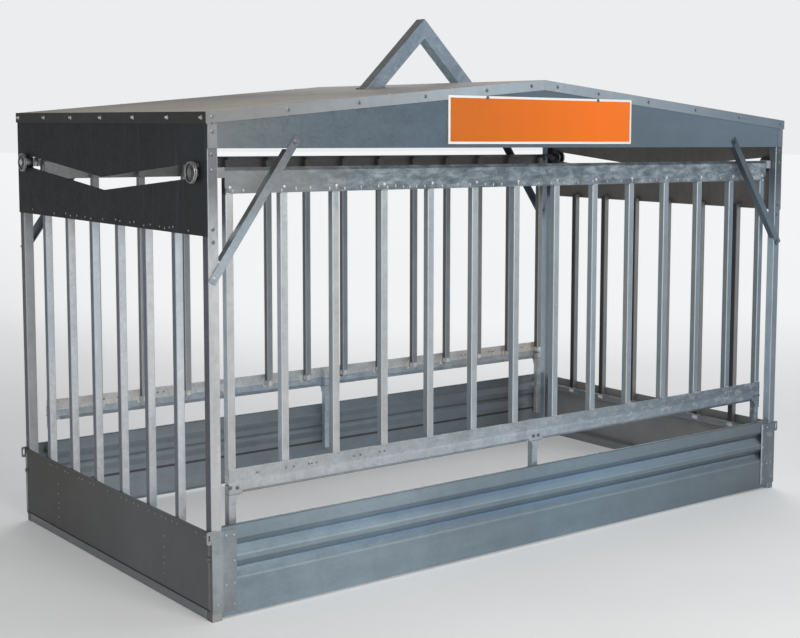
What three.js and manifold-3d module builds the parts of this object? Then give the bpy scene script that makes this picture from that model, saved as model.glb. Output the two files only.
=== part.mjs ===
// Hay feeder box for sheep: a galvanised frame with a pitched roof and a grille on each long side.
// Both long grilles hang on flanged rollers that run down V tracks in the end panels, so they close
// in on the bale as it is eaten. Millimetres, +Z up, origin on the ground under the middle.
import * as THREE from "three";
import { mergeVertices } from "three/addons/utils/BufferGeometryUtils.js";
import Module from "manifold-3d";

// Driving dimensions
const LENGTH = 3000;
const WIDTH = 1650;
const EAVE_HEIGHT = 1755;
const ROOF_RISE = 146;
const SHEET = 3;
const SEAT = 0.3;
const CUT_OVERRUN = 5;

// Square tubes
const POST = 40;
const POST_WALL = 3;
const BAR = 30;
const BAR_WALL = 2;
const BEAM = 60;
const BEAM_WALL = 5;
const TUBE_CORNER = 4;
const CORNER_STEPS = 4;

// End walls
const END_BARS = 6;
const BASE_RAIL = 40;
const MID_RAIL_TOP = 280;
const END_SKIRT_TOP = 318;
const END_SKIRT_LAP = 3;
const HEM_HEIGHT = 12;
const HEM_THICKNESS = 2;
const PANEL_DEPTH = 125;
const BAR_LAP = 20;
const HEADER_DROP = 105;

// V track in the end panels: the drop is from the eave to the middle of the V
const TRACK_DROP = 294;
const TRACK_SLOPE = THREE.MathUtils.degToRad(5.43);
const TRACK_LIP = 11;
const SLOT_HEIGHT = 50;
const SLOT_END = 52;
const SLOT_CORNER = 10;

// Long sides
const SKIRT_TOP = 333;
const SKIRT_BOTTOM = 12;
const SKIRT_LIP = 12;
const SWAGES = 2;
const SWAGE_START = 54;
const SWAGE_HEIGHT = 58;
const SWAGE_PITCH = 80;
const SWAGE_DEPTH = 18;
const SWAGE_CREST_SHARE = 0.42;
const FASCIA_DEPTH = 123;
const FASCIA_LIP = 15;

// Corner plates with a lashing ear
const CORNER_PLATE_WIDTH = 95;
const CORNER_PLATE_BOTTOM = 28;
const CORNER_PLATE_TOP = 318;
const EAR_REACH = 20;
const EAR_BOTTOM = 277;
const EAR_TOP = 323;
const EAR_CORNER = 8;
const EAR_SLOT_WIDTH = 8;
const EAR_SLOT_LENGTH = 24;

// Roof and lifting bail
const ROOF_LIP = 40;
const BAIL_RISE = 284;
const BAIL_CLEARANCE = 3;

// Corner braces: angle sections between a post and the fascia
const BRACE_LEG = 30;
const BRACE_FOOT_X = 19;
const BRACE_RUN = 322;
const BRACE_RISE = 463;
const BRACE_HEAD_LAP = 23;
const BRACE_END = 15;
const BRACE_CLEARANCE = 3;

// Sliding grilles
const GATE_SETBACK = 27;
const GATE_INSET = 84;
const GATE_BARS = 14;
const RAIL_HEIGHT = 90;
const RAIL_LIP = 12;
const RAIL_END_MARGIN = 4;
const RAIL_CHAMFER = 22;
const TOP_RAIL_OVER_AXLE = 17.5;
const FEED_GAP = 97;
const BAR_FOOT_RISE = 36;
const BAR_HEAD_GAP = 5;
const LEG_FOOT = 120;
const LEG_HEAD_GAP = 5;
const TONGUE_FLARE = 22;
const TONGUE_LENGTH = 44;
const HANGER_INSET = 45;
const HANGER_HEIGHT = 36;

// Rollers: a tread bush between two flange plates, turning on a stub axle
const AXLE_INSET = 82;
const AXLE_RADIUS = 12;
const AXLE_REACH = 26;
const AXLE_CHAMFER = 2;
const AXLE_CLEARANCE = 0.3;
const TREAD_RADIUS = 17.5;
const TREAD_HALF = 14;
const FLANGE_RADIUS = 38;
const FLANGE_CHAMFER = 1.5;
const OUTER_FLANGE = 5;
const INNER_FLANGE = 4;
const HUB_RADIUS = 19;
const HUB_PROUD = 2.5;
const ROUND_STEPS = 32;
const FILLET_STEPS = 5;

// Places that follow from the driving dimensions
const HALF_LENGTH = LENGTH / 2;
const HALF_WIDTH = WIDTH / 2;
const SHEET_PLANE = -SEAT - SHEET;
const COVER_PLANE = SHEET_PLANE - SEAT - SHEET;
const RIDGE_HEIGHT = EAVE_HEIGHT + ROOF_RISE;
const BAIL_TOP = RIDGE_HEIGHT + BAIL_RISE;
const HEADER_BOTTOM = EAVE_HEIGHT - HEADER_DROP;
const FASCIA_BOTTOM = EAVE_HEIGHT - FASCIA_DEPTH;
const TRACK_LOW = EAVE_HEIGHT - TRACK_DROP;
const PANEL_BOTTOM = TRACK_LOW - PANEL_DEPTH;
const BRACE_FOOT_Z = FASCIA_BOTTOM + BRACE_HEAD_LAP - BRACE_RISE;
const RAIL_SPAN = WIDTH - 2 * (POST + SEAT);
const SKIRT_SPAN = LENGTH - 2 * (POST + SEAT);
const AXLE_Y = HALF_WIDTH - AXLE_INSET;
const AXLE_Z = trackZ(AXLE_Y) + (TREAD_RADIUS + SEAT) / Math.cos(TRACK_SLOPE);
const GATE_HALF = HALF_LENGTH - GATE_INSET;
const GATE_PITCH = (2 * GATE_HALF - BAR) / (GATE_BARS - 1);
const BAR_PLANE = GATE_SETBACK + SHEET;
const TOP_RAIL_TOP = AXLE_Z + TOP_RAIL_OVER_AXLE;
const BOTTOM_RAIL_BOTTOM = SKIRT_TOP + FEED_GAP;
const BOTTOM_RAIL_TOP = BOTTOM_RAIL_BOTTOM + RAIL_HEIGHT;
const BAR_FOOT = BOTTOM_RAIL_BOTTOM + BAR_FOOT_RISE;

function trackZ(y) {
  return TRACK_LOW + Math.tan(TRACK_SLOPE) * Math.abs(y);
}

function slotTopZ(y) {
  return trackZ(y) + SLOT_HEIGHT;
}

// Top of the roof sheet at a distance from the outer face of the end posts
function roofZ(fromEnd) {
  return EAVE_HEIGHT + ((RIDGE_HEIGHT - EAVE_HEIGHT) * fromEnd) / HALF_LENGTH;
}

// Boolean joins and cuts
const wasm = await Module();
wasm.setup();

function solidOf(geometry) {
  const bare = new THREE.BufferGeometry();
  const flat = geometry.index ? geometry.toNonIndexed() : geometry;
  bare.setAttribute("position", flat.getAttribute("position"));
  const merged = mergeVertices(bare);
  const triVerts = new Uint32Array(merged.index.array);
  const vertProperties = merged.attributes.position.array;
  return new wasm.Manifold(new wasm.Mesh({ numProp: 3, vertProperties, triVerts }));
}

function geometryOf(solid) {
  const mesh = solid.getMesh();
  const indexed = new THREE.BufferGeometry();
  indexed.setAttribute("position", new THREE.BufferAttribute(mesh.vertProperties, mesh.numProp));
  indexed.setIndex(new THREE.BufferAttribute(mesh.triVerts, 1));
  const geometry = indexed.toNonIndexed();
  geometry.computeVertexNormals();
  return geometry;
}

function join(geometries) {
  return geometryOf(geometries.map(solidOf).reduce((sum, next) => sum.add(next)));
}

function cut(geometry, tool) {
  return geometryOf(solidOf(geometry).subtract(solidOf(tool)));
}

// Outlines and extrusions
function outline(points) {
  return new THREE.Shape(points.map(([u, v]) => new THREE.Vector2(u, v)));
}

// An outline in X and Y, swept up Z from one place to another
function sweepZ(shape, fromZ, toZ) {
  const options = { depth: 1, bevelEnabled: false, curveSegments: FILLET_STEPS };
  const geometry = new THREE.ExtrudeGeometry(shape, options);
  const places = geometry.getAttribute("position");
  for (let i = 0; i < places.count; i++) places.setZ(i, places.getZ(i) > 0 ? toZ : fromZ);
  return geometry;
}

const AXIS_X = new THREE.Vector3(1, 0, 0);
const AXIS_Y = new THREE.Vector3(0, 1, 0);
const AXIS_Z = new THREE.Vector3(0, 0, 1);
const ONTO_X = new THREE.Matrix4().makeBasis(AXIS_Y, AXIS_Z, AXIS_X);
const ONTO_Y = new THREE.Matrix4().makeBasis(AXIS_X, AXIS_Z, AXIS_Y.clone().negate());

// An outline in Y and Z, swept along X from one place to another
function sweepX(shape, fromX, toX) {
  return sweepZ(shape, fromX, toX).applyMatrix4(ONTO_X);
}

// An outline in X and Z, swept along Y from one place to another
function sweepY(shape, fromY, toY) {
  return sweepZ(shape, -toY, -fromY).applyMatrix4(ONTO_Y);
}

// The section of a folded sheet: its outer line, and the same line set in by the thickness on its left
function foldedSection(points, thickness) {
  const line = points.map(([u, v]) => new THREE.Vector2(u, v));
  const normals = line.slice(1).map((point, i) => {
    const along = point.clone().sub(line[i]).normalize();
    return new THREE.Vector2(-along.y, along.x);
  });
  const inner = line.map((point, i) => {
    const before = normals[Math.max(i - 1, 0)];
    const after = normals[Math.min(i, normals.length - 1)];
    const mitre = before.clone().add(after).divideScalar(1 + before.dot(after));
    return point.clone().addScaledVector(mitre, thickness);
  });
  return new THREE.Shape([...line, ...inner.reverse()]);
}

function roundedSquare(side, corner) {
  const reach = side / 2 - corner;
  const shape = new THREE.Shape();
  const centres = [
    [reach, reach],
    [-reach, reach],
    [-reach, -reach],
    [reach, -reach],
  ];
  centres.forEach(([u, v], i) => {
    const start = (i * Math.PI) / 2;
    for (let step = 0; step <= CORNER_STEPS; step++) {
      const angle = start + ((Math.PI / 2) * step) / CORNER_STEPS;
      const place = [u + corner * Math.cos(angle), v + corner * Math.sin(angle)];
      if (i === 0 && step === 0) shape.moveTo(...place);
      else shape.lineTo(...place);
    }
  });
  shape.closePath();
  return shape;
}

// The section of a square tube, round its own middle
function tubeSection(side, wall) {
  const section = roundedSquare(side, TUBE_CORNER);
  const bore = side / 2 - wall;
  const hole = [
    [-bore, -bore],
    [-bore, bore],
    [bore, bore],
    [bore, -bore],
  ];
  section.holes.push(new THREE.Path(hole.map(([u, v]) => new THREE.Vector2(u, v))));
  return section;
}

function uprightTube(side, wall, fromZ, toZ) {
  return sweepZ(tubeSection(side, wall), fromZ, toZ);
}

// A profile of (radius, place along X) pairs, turned round the X axis
function turnedAlongX(profile) {
  const points = profile.map(([radius, along]) => new THREE.Vector2(radius, along));
  return new THREE.LatheGeometry(points, ROUND_STEPS).rotateZ(-Math.PI / 2);
}

// Finishes
function galvanised() {
  return new THREE.MeshStandardMaterial({ color: 0x9aa3a8, metalness: 0.75, roughness: 0.45 });
}

function blueSheet() {
  return new THREE.MeshStandardMaterial({ color: 0x69787f, metalness: 0.7, roughness: 0.5 });
}

function shadedSheet() {
  return new THREE.MeshStandardMaterial({ color: 0x4a4e50, metalness: 0.65, roughness: 0.55 });
}

function roofSheet() {
  return new THREE.MeshStandardMaterial({ color: 0x8c8478, metalness: 0.55, roughness: 0.6 });
}

function bareZinc() {
  return new THREE.MeshStandardMaterial({ color: 0xb4b9bc, metalness: 0.85, roughness: 0.35 });
}

function place(group, name, geometry, material, [x, y, z] = [0, 0, 0]) {
  const mesh = new THREE.Mesh(geometry, material);
  mesh.name = name;
  mesh.position.set(x, y, z);
  group.add(mesh);
  return mesh;
}

// End wall parts. Their frame has X going in from the outer face of the end posts, and Y from the middle.
function railTube(side, wall) {
  return sweepY(tubeSection(side, wall), -RAIL_SPAN / 2, RAIL_SPAN / 2);
}

function endSkirtGeometry() {
  const bottom = BASE_RAIL - END_SKIRT_LAP;
  const hemPlane = SHEET_PLANE - HEM_THICKNESS;
  const hemFoot = END_SKIRT_TOP - HEM_HEIGHT;
  const section = outline([
    [-SEAT, bottom],
    [-SEAT, END_SKIRT_TOP],
    [hemPlane, END_SKIRT_TOP],
    [hemPlane, hemFoot],
    [SHEET_PLANE, hemFoot],
    [SHEET_PLANE, bottom],
  ]);
  return sweepY(section, -HALF_WIDTH, HALF_WIDTH);
}

// Half of the track's edge, from the corner of the slot's end to the middle
function slotCornerPoints() {
  const endY = HALF_WIDTH - SLOT_END;
  const centreY = endY - SLOT_CORNER;
  const centreZ = trackZ(centreY) + SLOT_CORNER / Math.cos(TRACK_SLOPE);
  const sweep = Math.PI / 2 - TRACK_SLOPE;
  return Array.from({ length: FILLET_STEPS + 1 }, (_, i) => {
    const angle = -(sweep * i) / FILLET_STEPS;
    return [centreY + SLOT_CORNER * Math.cos(angle), centreZ + SLOT_CORNER * Math.sin(angle)];
  });
}

function trackPanelGeometry() {
  const corner = slotCornerPoints();
  const endY = HALF_WIDTH - SLOT_END;
  const half = [
    [HALF_WIDTH, PANEL_BOTTOM],
    [HALF_WIDTH, slotTopZ(HALF_WIDTH) - SEAT],
    [endY, slotTopZ(endY) - SEAT],
    ...corner,
  ];
  const mirrored = half.map(([y, z]) => [-y, z]).reverse();
  const sheet = sweepX(outline([...half, [0, TRACK_LOW], ...mirrored]), SHEET_PLANE, -SEAT);
  const lipEnd = endY - 2 * SLOT_CORNER;
  const lip = outline([
    [lipEnd, trackZ(lipEnd)],
    [0, TRACK_LOW],
    [-lipEnd, trackZ(lipEnd)],
    [-lipEnd, trackZ(lipEnd) - SHEET],
    [0, TRACK_LOW - SHEET],
    [lipEnd, trackZ(lipEnd) - SHEET],
  ]);
  return join([sheet, sweepX(lip, SHEET_PLANE, TRACK_LIP)]);
}

function upperPanelGeometry() {
  const top = roofZ(SHEET_PLANE) - SHEET - SEAT;
  const sheet = outline([
    [-HALF_WIDTH, top],
    [-HALF_WIDTH, slotTopZ(HALF_WIDTH)],
    [0, slotTopZ(0)],
    [HALF_WIDTH, slotTopZ(HALF_WIDTH)],
    [HALF_WIDTH, top],
  ]);
  return sweepX(sheet, SHEET_PLANE, -SEAT);
}

// One slope of the roof, with its edges folded down over the end panel and both fascias
function roofPanelGeometry() {
  const ridge = HALF_LENGTH - SEAT / 2;
  const edge = HALF_WIDTH - COVER_PLANE;
  const slab = outline([
    [COVER_PLANE, roofZ(COVER_PLANE)],
    [ridge, roofZ(ridge)],
    [ridge, roofZ(ridge) - SHEET],
    [COVER_PLANE, roofZ(COVER_PLANE) - SHEET],
  ]);
  const sideLip = outline([
    [COVER_PLANE, roofZ(COVER_PLANE)],
    [ridge, roofZ(ridge)],
    [ridge, roofZ(ridge) - ROOF_LIP],
    [COVER_PLANE, roofZ(COVER_PLANE) - ROOF_LIP],
  ]);
  const eaveLip = outline([
    [COVER_PLANE, roofZ(COVER_PLANE) - SHEET / 2],
    [COVER_PLANE + SHEET, roofZ(COVER_PLANE) - SHEET / 2],
    [COVER_PLANE + SHEET, roofZ(COVER_PLANE) - ROOF_LIP],
    [COVER_PLANE, roofZ(COVER_PLANE) - ROOF_LIP],
  ]);
  const shell = join([
    sweepY(slab, -edge, edge),
    sweepY(sideLip, -edge, -edge + SHEET),
    sweepY(sideLip, edge - SHEET, edge),
    sweepY(eaveLip, -edge, edge),
  ]);
  const bailPassage = bailSolid(-BAIL_CLEARANCE, HEADER_BOTTOM).translate(HALF_LENGTH, 0, 0);
  return cut(shell, bailPassage);
}

function buildEnd(side, direction) {
  const end = new THREE.Group();
  end.position.x = -direction * HALF_LENGTH;
  end.scale.x = direction;
  const midRailZ = MID_RAIL_TOP - BAR / 2;
  const headerZ = HEADER_BOTTOM + POST / 2;
  const barHead = PANEL_BOTTOM + BAR_LAP;
  place(end, `${side}_base_rail`, railTube(BASE_RAIL, POST_WALL), galvanised(), [
    BASE_RAIL / 2,
    0,
    BASE_RAIL / 2,
  ]);
  place(end, `${side}_mid_rail`, railTube(BAR, BAR_WALL), galvanised(), [BAR / 2, 0, midRailZ]);
  place(end, `${side}_header`, railTube(POST, POST_WALL), galvanised(), [POST / 2, 0, headerZ]);
  place(end, `${side}_end_skirt`, endSkirtGeometry(), shadedSheet());
  place(end, `${side}_track_panel`, trackPanelGeometry(), shadedSheet());
  place(end, `${side}_upper_panel`, upperPanelGeometry(), shadedSheet());
  place(end, `${side}_roof_panel`, roofPanelGeometry(), roofSheet());
  const gap = (WIDTH - 2 * POST - END_BARS * BAR) / (END_BARS + 1);
  for (let i = 0; i < END_BARS; i++) {
    const y = -HALF_WIDTH + POST + gap + BAR / 2 + i * (gap + BAR);
    const name = `${side}_end_bar_${i + 1}`;
    place(end, name, uprightTube(BAR, BAR_WALL, MID_RAIL_TOP + SEAT, barHead), galvanised(), [
      BAR / 2,
      y,
      0,
    ]);
  }
  return end;
}

// Long side parts. Their frame has Y going in from the outer face of the posts, and X from the middle.
function longSkirtGeometry() {
  const line = [
    [SKIRT_LIP, SKIRT_TOP],
    [0, SKIRT_TOP],
  ];
  for (let i = 0; i < SWAGES; i++) {
    const start = SKIRT_TOP - SWAGE_START - i * SWAGE_PITCH;
    line.push([0, start]);
    line.push([SWAGE_DEPTH, start - SWAGE_HEIGHT * SWAGE_CREST_SHARE]);
    line.push([0, start - SWAGE_HEIGHT]);
  }
  line.push([0, SKIRT_BOTTOM], [SKIRT_LIP, SKIRT_BOTTOM]);
  return sweepX(foldedSection(line, SHEET), -SKIRT_SPAN / 2, SKIRT_SPAN / 2);
}

function fasciaGeometry() {
  const topGap = SHEET + SEAT;
  const sheet = outline([
    [-HALF_LENGTH, FASCIA_BOTTOM],
    [HALF_LENGTH, FASCIA_BOTTOM],
    [HALF_LENGTH, roofZ(0) - topGap],
    [0, roofZ(HALF_LENGTH) - topGap],
    [-HALF_LENGTH, roofZ(0) - topGap],
  ]);
  const lip = outline([
    [SHEET_PLANE, FASCIA_BOTTOM],
    [FASCIA_LIP, FASCIA_BOTTOM],
    [FASCIA_LIP, FASCIA_BOTTOM + SHEET],
    [SHEET_PLANE, FASCIA_BOTTOM + SHEET],
  ]);
  return join([sweepY(sheet, SHEET_PLANE, -SEAT), sweepX(lip, -SKIRT_SPAN / 2, SKIRT_SPAN / 2)]);
}

// Its X goes in from the outer face of the end posts
function cornerPlateGeometry() {
  const plate = new THREE.Shape();
  plate.moveTo(0, CORNER_PLATE_BOTTOM);
  plate.lineTo(CORNER_PLATE_WIDTH, CORNER_PLATE_BOTTOM);
  plate.lineTo(CORNER_PLATE_WIDTH, CORNER_PLATE_TOP);
  plate.lineTo(EAR_REACH, CORNER_PLATE_TOP);
  plate.lineTo(EAR_REACH - (EAR_TOP - CORNER_PLATE_TOP), EAR_TOP);
  plate.absarc(-EAR_REACH + EAR_CORNER, EAR_TOP - EAR_CORNER, EAR_CORNER, Math.PI / 2, Math.PI, false);
  plate.absarc(-EAR_REACH + EAR_CORNER, EAR_BOTTOM + EAR_CORNER, EAR_CORNER, Math.PI, 1.5 * Math.PI, false);
  plate.lineTo(0, EAR_BOTTOM);
  plate.closePath();
  const slot = new THREE.Path();
  const radius = EAR_SLOT_WIDTH / 2;
  const reach = EAR_SLOT_LENGTH / 2 - radius;
  const middle = (EAR_TOP + EAR_BOTTOM) / 2;
  slot.absarc(-EAR_REACH / 2, middle + reach, radius, 0, Math.PI, false);
  slot.absarc(-EAR_REACH / 2, middle - reach, radius, Math.PI, 2 * Math.PI, false);
  slot.closePath();
  plate.holes.push(slot);
  return sweepY(plate, SHEET_PLANE, -SEAT);
}

// Along its own X from the foot bolt to the head bolt. Its inner leg stands on the upper or the
// lower edge and is cut short at both ends.
function braceGeometry(legOnUpperEdge) {
  const length = Math.hypot(BRACE_RUN, BRACE_RISE);
  const front = COVER_PLANE;
  const half = BRACE_LEG / 2;
  const face = outline([
    [-BRACE_END, -half],
    [length + BRACE_END, -half],
    [length + BRACE_END, half],
    [-BRACE_END, half],
  ]);
  const clearOfPost = POST + BRACE_CLEARANCE - BRACE_FOOT_X;
  const legTop = legOnUpperEdge ? half : SHEET - half;
  const start = (clearOfPost * length + legTop * BRACE_RISE) / BRACE_RUN;
  const clearOfFascia = FASCIA_BOTTOM - BRACE_CLEARANCE - BRACE_FOOT_Z;
  const stop = (clearOfFascia * length - legTop * BRACE_RUN) / BRACE_RISE;
  const inner = outline([
    [start, legTop],
    [start, legTop - SHEET],
    [stop, legTop - SHEET],
    [stop, legTop],
  ]);
  const pad = outline([
    [-BRACE_END, -half],
    [BRACE_END, -half],
    [BRACE_END, half],
    [-BRACE_END, half],
  ]);
  const solid = join([
    sweepY(face, front, front + SHEET),
    sweepY(inner, front + SHEET / 2, front + BRACE_LEG),
    sweepY(pad, front + SHEET / 2, -SEAT),
  ]);
  return solid.rotateY(-Math.atan2(BRACE_RISE, BRACE_RUN));
}

function buildLongSide(side, direction) {
  const long = new THREE.Group();
  long.position.y = -direction * HALF_WIDTH;
  long.scale.y = direction;
  const postHeight = roofZ(0) - SHEET - SEAT;
  place(long, `${side}_skirt`, longSkirtGeometry(), blueSheet());
  place(long, `${side}_fascia`, fasciaGeometry(), blueSheet());
  for (const [end, turn] of [
    ["left", 1],
    ["right", -1],
  ]) {
    const corner = new THREE.Group();
    corner.position.x = -turn * HALF_LENGTH;
    corner.scale.x = turn;
    place(corner, `post_${side}_${end}`, uprightTube(POST, POST_WALL, 0, postHeight), galvanised(), [
      POST / 2,
      POST / 2,
      0,
    ]);
    place(corner, `corner_plate_${side}_${end}`, cornerPlateGeometry(), blueSheet());
    const brace = braceGeometry((side === "front") === (end === "left"));
    place(corner, `brace_${side}_${end}`, brace, bareZinc(), [BRACE_FOOT_X, 0, BRACE_FOOT_Z]);
    long.add(corner);
  }
  return long;
}

// Lifting gear: a beam from header to header, and an inverted V of tube that stands on it.
// The V is set in from its outer faces, or out from them where the inset is negative.
function bailSolid(inset, foot) {
  const outerApex = BAIL_TOP - inset * Math.SQRT2;
  const innerApex = BAIL_TOP - (BEAM - inset) * Math.SQRT2;
  const shape = outline([
    [foot - outerApex, foot],
    [0, outerApex],
    [outerApex - foot, foot],
    [innerApex - foot, foot],
    [0, innerApex],
    [foot - innerApex, foot],
  ]);
  const half = BEAM / 2 - inset;
  return sweepY(shape, -half, half);
}

function bailGeometry() {
  const foot = HEADER_BOTTOM + POST + SEAT + BEAM + SEAT;
  return cut(bailSolid(0, foot), bailSolid(BEAM_WALL, foot - CUT_OVERRUN));
}

function buildLiftingGear() {
  const lifting = new THREE.Group();
  const beamZ = HEADER_BOTTOM + POST + SEAT + BEAM / 2;
  const beam = sweepX(tubeSection(BEAM, BEAM_WALL), -HALF_LENGTH, HALF_LENGTH);
  place(lifting, "lift_beam", beam, galvanised(), [0, 0, beamZ]);
  place(lifting, "lift_bail", bailGeometry(), galvanised());
  return lifting;
}

// Sliding grille parts, in the frame of their long side
function gateBarX(index) {
  return -GATE_HALF + BAR / 2 + index * GATE_PITCH;
}

// A 45 degree lip on a rail, from the fold line to the rail's edge
function railLip(foldZ, edgeZ, flatZ, fromX, toX) {
  const backwards = edgeZ < foldZ;
  const line = [
    [GATE_SETBACK + RAIL_LIP, edgeZ],
    [GATE_SETBACK, foldZ],
    [GATE_SETBACK, flatZ],
  ];
  return sweepX(foldedSection(backwards ? line.reverse() : line, SHEET), fromX, toX);
}

function hangerGeometry() {
  const top = AXLE_Z + HANGER_HEIGHT / 2;
  const bottom = AXLE_Z - HANGER_HEIGHT / 2;
  const shape = new THREE.Shape();
  shape.moveTo(GATE_SETBACK, bottom);
  shape.absarc(AXLE_INSET, AXLE_Z, HANGER_HEIGHT / 2, -Math.PI / 2, Math.PI / 2, false);
  shape.lineTo(GATE_SETBACK, top);
  shape.closePath();
  return sweepX(shape, -HALF_LENGTH + HANGER_INSET, -HALF_LENGTH + HANGER_INSET + SHEET);
}

function stubAxleGeometry() {
  const inner = HANGER_INSET + SHEET;
  const axle = turnedAlongX([
    [0, -AXLE_REACH],
    [AXLE_RADIUS - AXLE_CHAMFER, -AXLE_REACH],
    [AXLE_RADIUS, -AXLE_REACH + AXLE_CHAMFER],
    [AXLE_RADIUS, inner],
    [0, inner],
  ]);
  return axle.translate(-HALF_LENGTH, AXLE_INSET, AXLE_Z);
}

function mirroredInX(geometry) {
  const flat = geometry.index ? geometry.toNonIndexed() : geometry.clone();
  flat.scale(-1, 1, 1);
  const places = flat.getAttribute("position");
  const copy = places.array.slice();
  for (let i = 0; i < copy.length; i += 9) {
    for (let j = 0; j < 3; j++) {
      places.array[i + 3 + j] = copy[i + 6 + j];
      places.array[i + 6 + j] = copy[i + 3 + j];
    }
  }
  return flat;
}

function gateGrilleGeometry() {
  const fold = TOP_RAIL_TOP - RAIL_LIP;
  const bottom = TOP_RAIL_TOP - RAIL_HEIGHT;
  const end = GATE_HALF + RAIL_END_MARGIN;
  const hangerEnd = HALF_LENGTH - HANGER_INSET;
  const hangerTop = AXLE_Z + HANGER_HEIGHT / 2;
  const hangerBottom = AXLE_Z - HANGER_HEIGHT / 2;
  const half = [
    [end - RAIL_CHAMFER, bottom],
    [end, bottom + RAIL_CHAMFER],
    [end, hangerBottom],
    [hangerEnd, hangerBottom],
    [hangerEnd, hangerTop],
    [end, hangerTop],
    [end, fold],
  ];
  const mirrored = half.map(([x, z]) => [-x, z]).reverse();
  const plate = sweepY(outline([...half, ...mirrored]), GATE_SETBACK, BAR_PLANE);
  const lip = railLip(fold, TOP_RAIL_TOP, fold - RAIL_LIP, -end, end);
  const bars = Array.from({ length: GATE_BARS }, (_, i) => {
    const bar = uprightTube(BAR, BAR_WALL, BAR_FOOT, fold - BAR_HEAD_GAP);
    return bar.translate(gateBarX(i), BAR_PLANE + BAR / 2, 0);
  });
  const hangers = [hangerGeometry(), stubAxleGeometry()];
  return join([plate, lip, ...bars, ...hangers, ...hangers.map(mirroredInX)]);
}

// A tongue of the bottom rail in front of a leg, with a flare on the sides that have one
function tongueGeometry(x, flares) {
  const top = BOTTOM_RAIL_BOTTOM + RAIL_LIP;
  const bottom = top - TONGUE_LENGTH;
  const half = BAR / 2;
  const flareSide = (sign) => {
    if (!flares.includes(sign)) return [[sign * half, top]];
    const wide = half + TONGUE_FLARE;
    return Array.from({ length: FILLET_STEPS + 1 }, (_, i) => {
      const angle = ((Math.PI / 2) * i) / FILLET_STEPS;
      return [
        sign * (wide - TONGUE_FLARE * Math.sin(angle)),
        top - RAIL_LIP - TONGUE_FLARE * (1 - Math.cos(angle)),
      ];
    });
  };
  const capped = (sign) => (flares.includes(sign) ? [[sign * (half + TONGUE_FLARE), top]] : []);
  const points = [
    ...capped(1),
    ...flareSide(1),
    [half, bottom],
    [-half, bottom],
    ...flareSide(-1).reverse(),
    ...capped(-1),
  ];
  const lapped = points.map(([u, v]) => [x + u, v === top ? v + RAIL_LIP : v]);
  return sweepY(outline(lapped), GATE_SETBACK, BAR_PLANE);
}

function gateBottomRailGeometry() {
  const edge = BOTTOM_RAIL_BOTTOM;
  const fold = edge + RAIL_LIP;
  const plate = outline([
    [-GATE_HALF, fold],
    [GATE_HALF, fold],
    [GATE_HALF, BOTTOM_RAIL_TOP],
    [-GATE_HALF, BOTTOM_RAIL_TOP],
  ]);
  const lipGap = BAR / 2 + TONGUE_FLARE;
  const endLegX = GATE_HALF - BAR / 2;
  const lips = [
    railLip(fold, edge, fold + RAIL_LIP, lipGap - endLegX, -lipGap),
    railLip(fold, edge, fold + RAIL_LIP, lipGap, endLegX - lipGap),
  ];
  const legs = [
    [-endLegX, BAR_FOOT - LEG_HEAD_GAP, [1]],
    [0, BOTTOM_RAIL_TOP - LEG_HEAD_GAP, [-1, 1]],
    [endLegX, BAR_FOOT - LEG_HEAD_GAP, [-1]],
  ];
  const tubes = legs.map(([x, head]) =>
    uprightTube(BAR, BAR_WALL, LEG_FOOT, head).translate(x, BAR_PLANE + BAR / 2, 0),
  );
  const tongues = legs.map(([x, , flares]) => tongueGeometry(x, flares));
  return join([sweepY(plate, GATE_SETBACK, BAR_PLANE), ...lips, ...tongues, ...tubes]);
}

// Roller parts, turned round their own axle with X going in from the outer face of the end posts
function flangeProfile(outerX, innerX, hubX) {
  const bore = AXLE_RADIUS + AXLE_CLEARANCE;
  const loop = [
    [bore, hubX],
    [HUB_RADIUS, hubX],
    [HUB_RADIUS, outerX],
    [FLANGE_RADIUS - FLANGE_CHAMFER, outerX],
    [FLANGE_RADIUS, outerX + Math.sign(innerX - outerX) * FLANGE_CHAMFER],
    [FLANGE_RADIUS, innerX],
    [bore, innerX],
  ];
  return innerX > outerX ? [...loop, loop[0]] : [...loop, loop[0]].reverse();
}

function treadProfile() {
  const bore = AXLE_RADIUS + AXLE_CLEARANCE;
  const half = TREAD_HALF - SEAT;
  const loop = [
    [bore, -half],
    [TREAD_RADIUS, -half],
    [TREAD_RADIUS, half],
    [bore, half],
  ];
  return [...loop, loop[0]];
}

function buildRoller(side, end) {
  const roller = new THREE.Group();
  const outer = -TREAD_HALF - OUTER_FLANGE;
  const inner = TREAD_HALF + INNER_FLANGE;
  const outerProfile = flangeProfile(outer, -TREAD_HALF, outer - HUB_PROUD);
  const innerProfile = flangeProfile(inner, TREAD_HALF, inner + HUB_PROUD);
  const name = `roller_${side}_${end}`;
  place(roller, `${name}_outer_flange`, turnedAlongX(outerProfile), bareZinc());
  place(roller, `${name}_tread`, turnedAlongX(treadProfile()), bareZinc());
  place(roller, `${name}_inner_flange`, turnedAlongX(innerProfile), bareZinc());
  roller.position.set(0, AXLE_INSET, AXLE_Z);
  return roller;
}

function buildGate(side, direction) {
  const gate = new THREE.Group();
  gate.position.y = -direction * HALF_WIDTH;
  gate.scale.y = direction;
  place(gate, `${side}_gate_grille`, gateGrilleGeometry(), galvanised());
  place(gate, `${side}_gate_bottom_rail`, gateBottomRailGeometry(), galvanised());
  for (const [end, turn] of [
    ["left", 1],
    ["right", -1],
  ]) {
    const corner = new THREE.Group();
    corner.position.x = -turn * HALF_LENGTH;
    corner.scale.x = turn;
    corner.add(buildRoller(side, end));
    gate.add(corner);
  }
  return gate;
}

const feeder = new THREE.Group();
feeder.add(buildEnd("left", 1), buildEnd("right", -1));
feeder.add(buildLongSide("front", 1), buildLongSide("back", -1));
feeder.add(buildLiftingGear());
feeder.add(buildGate("front", 1), buildGate("back", -1));

export default feeder;
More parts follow.
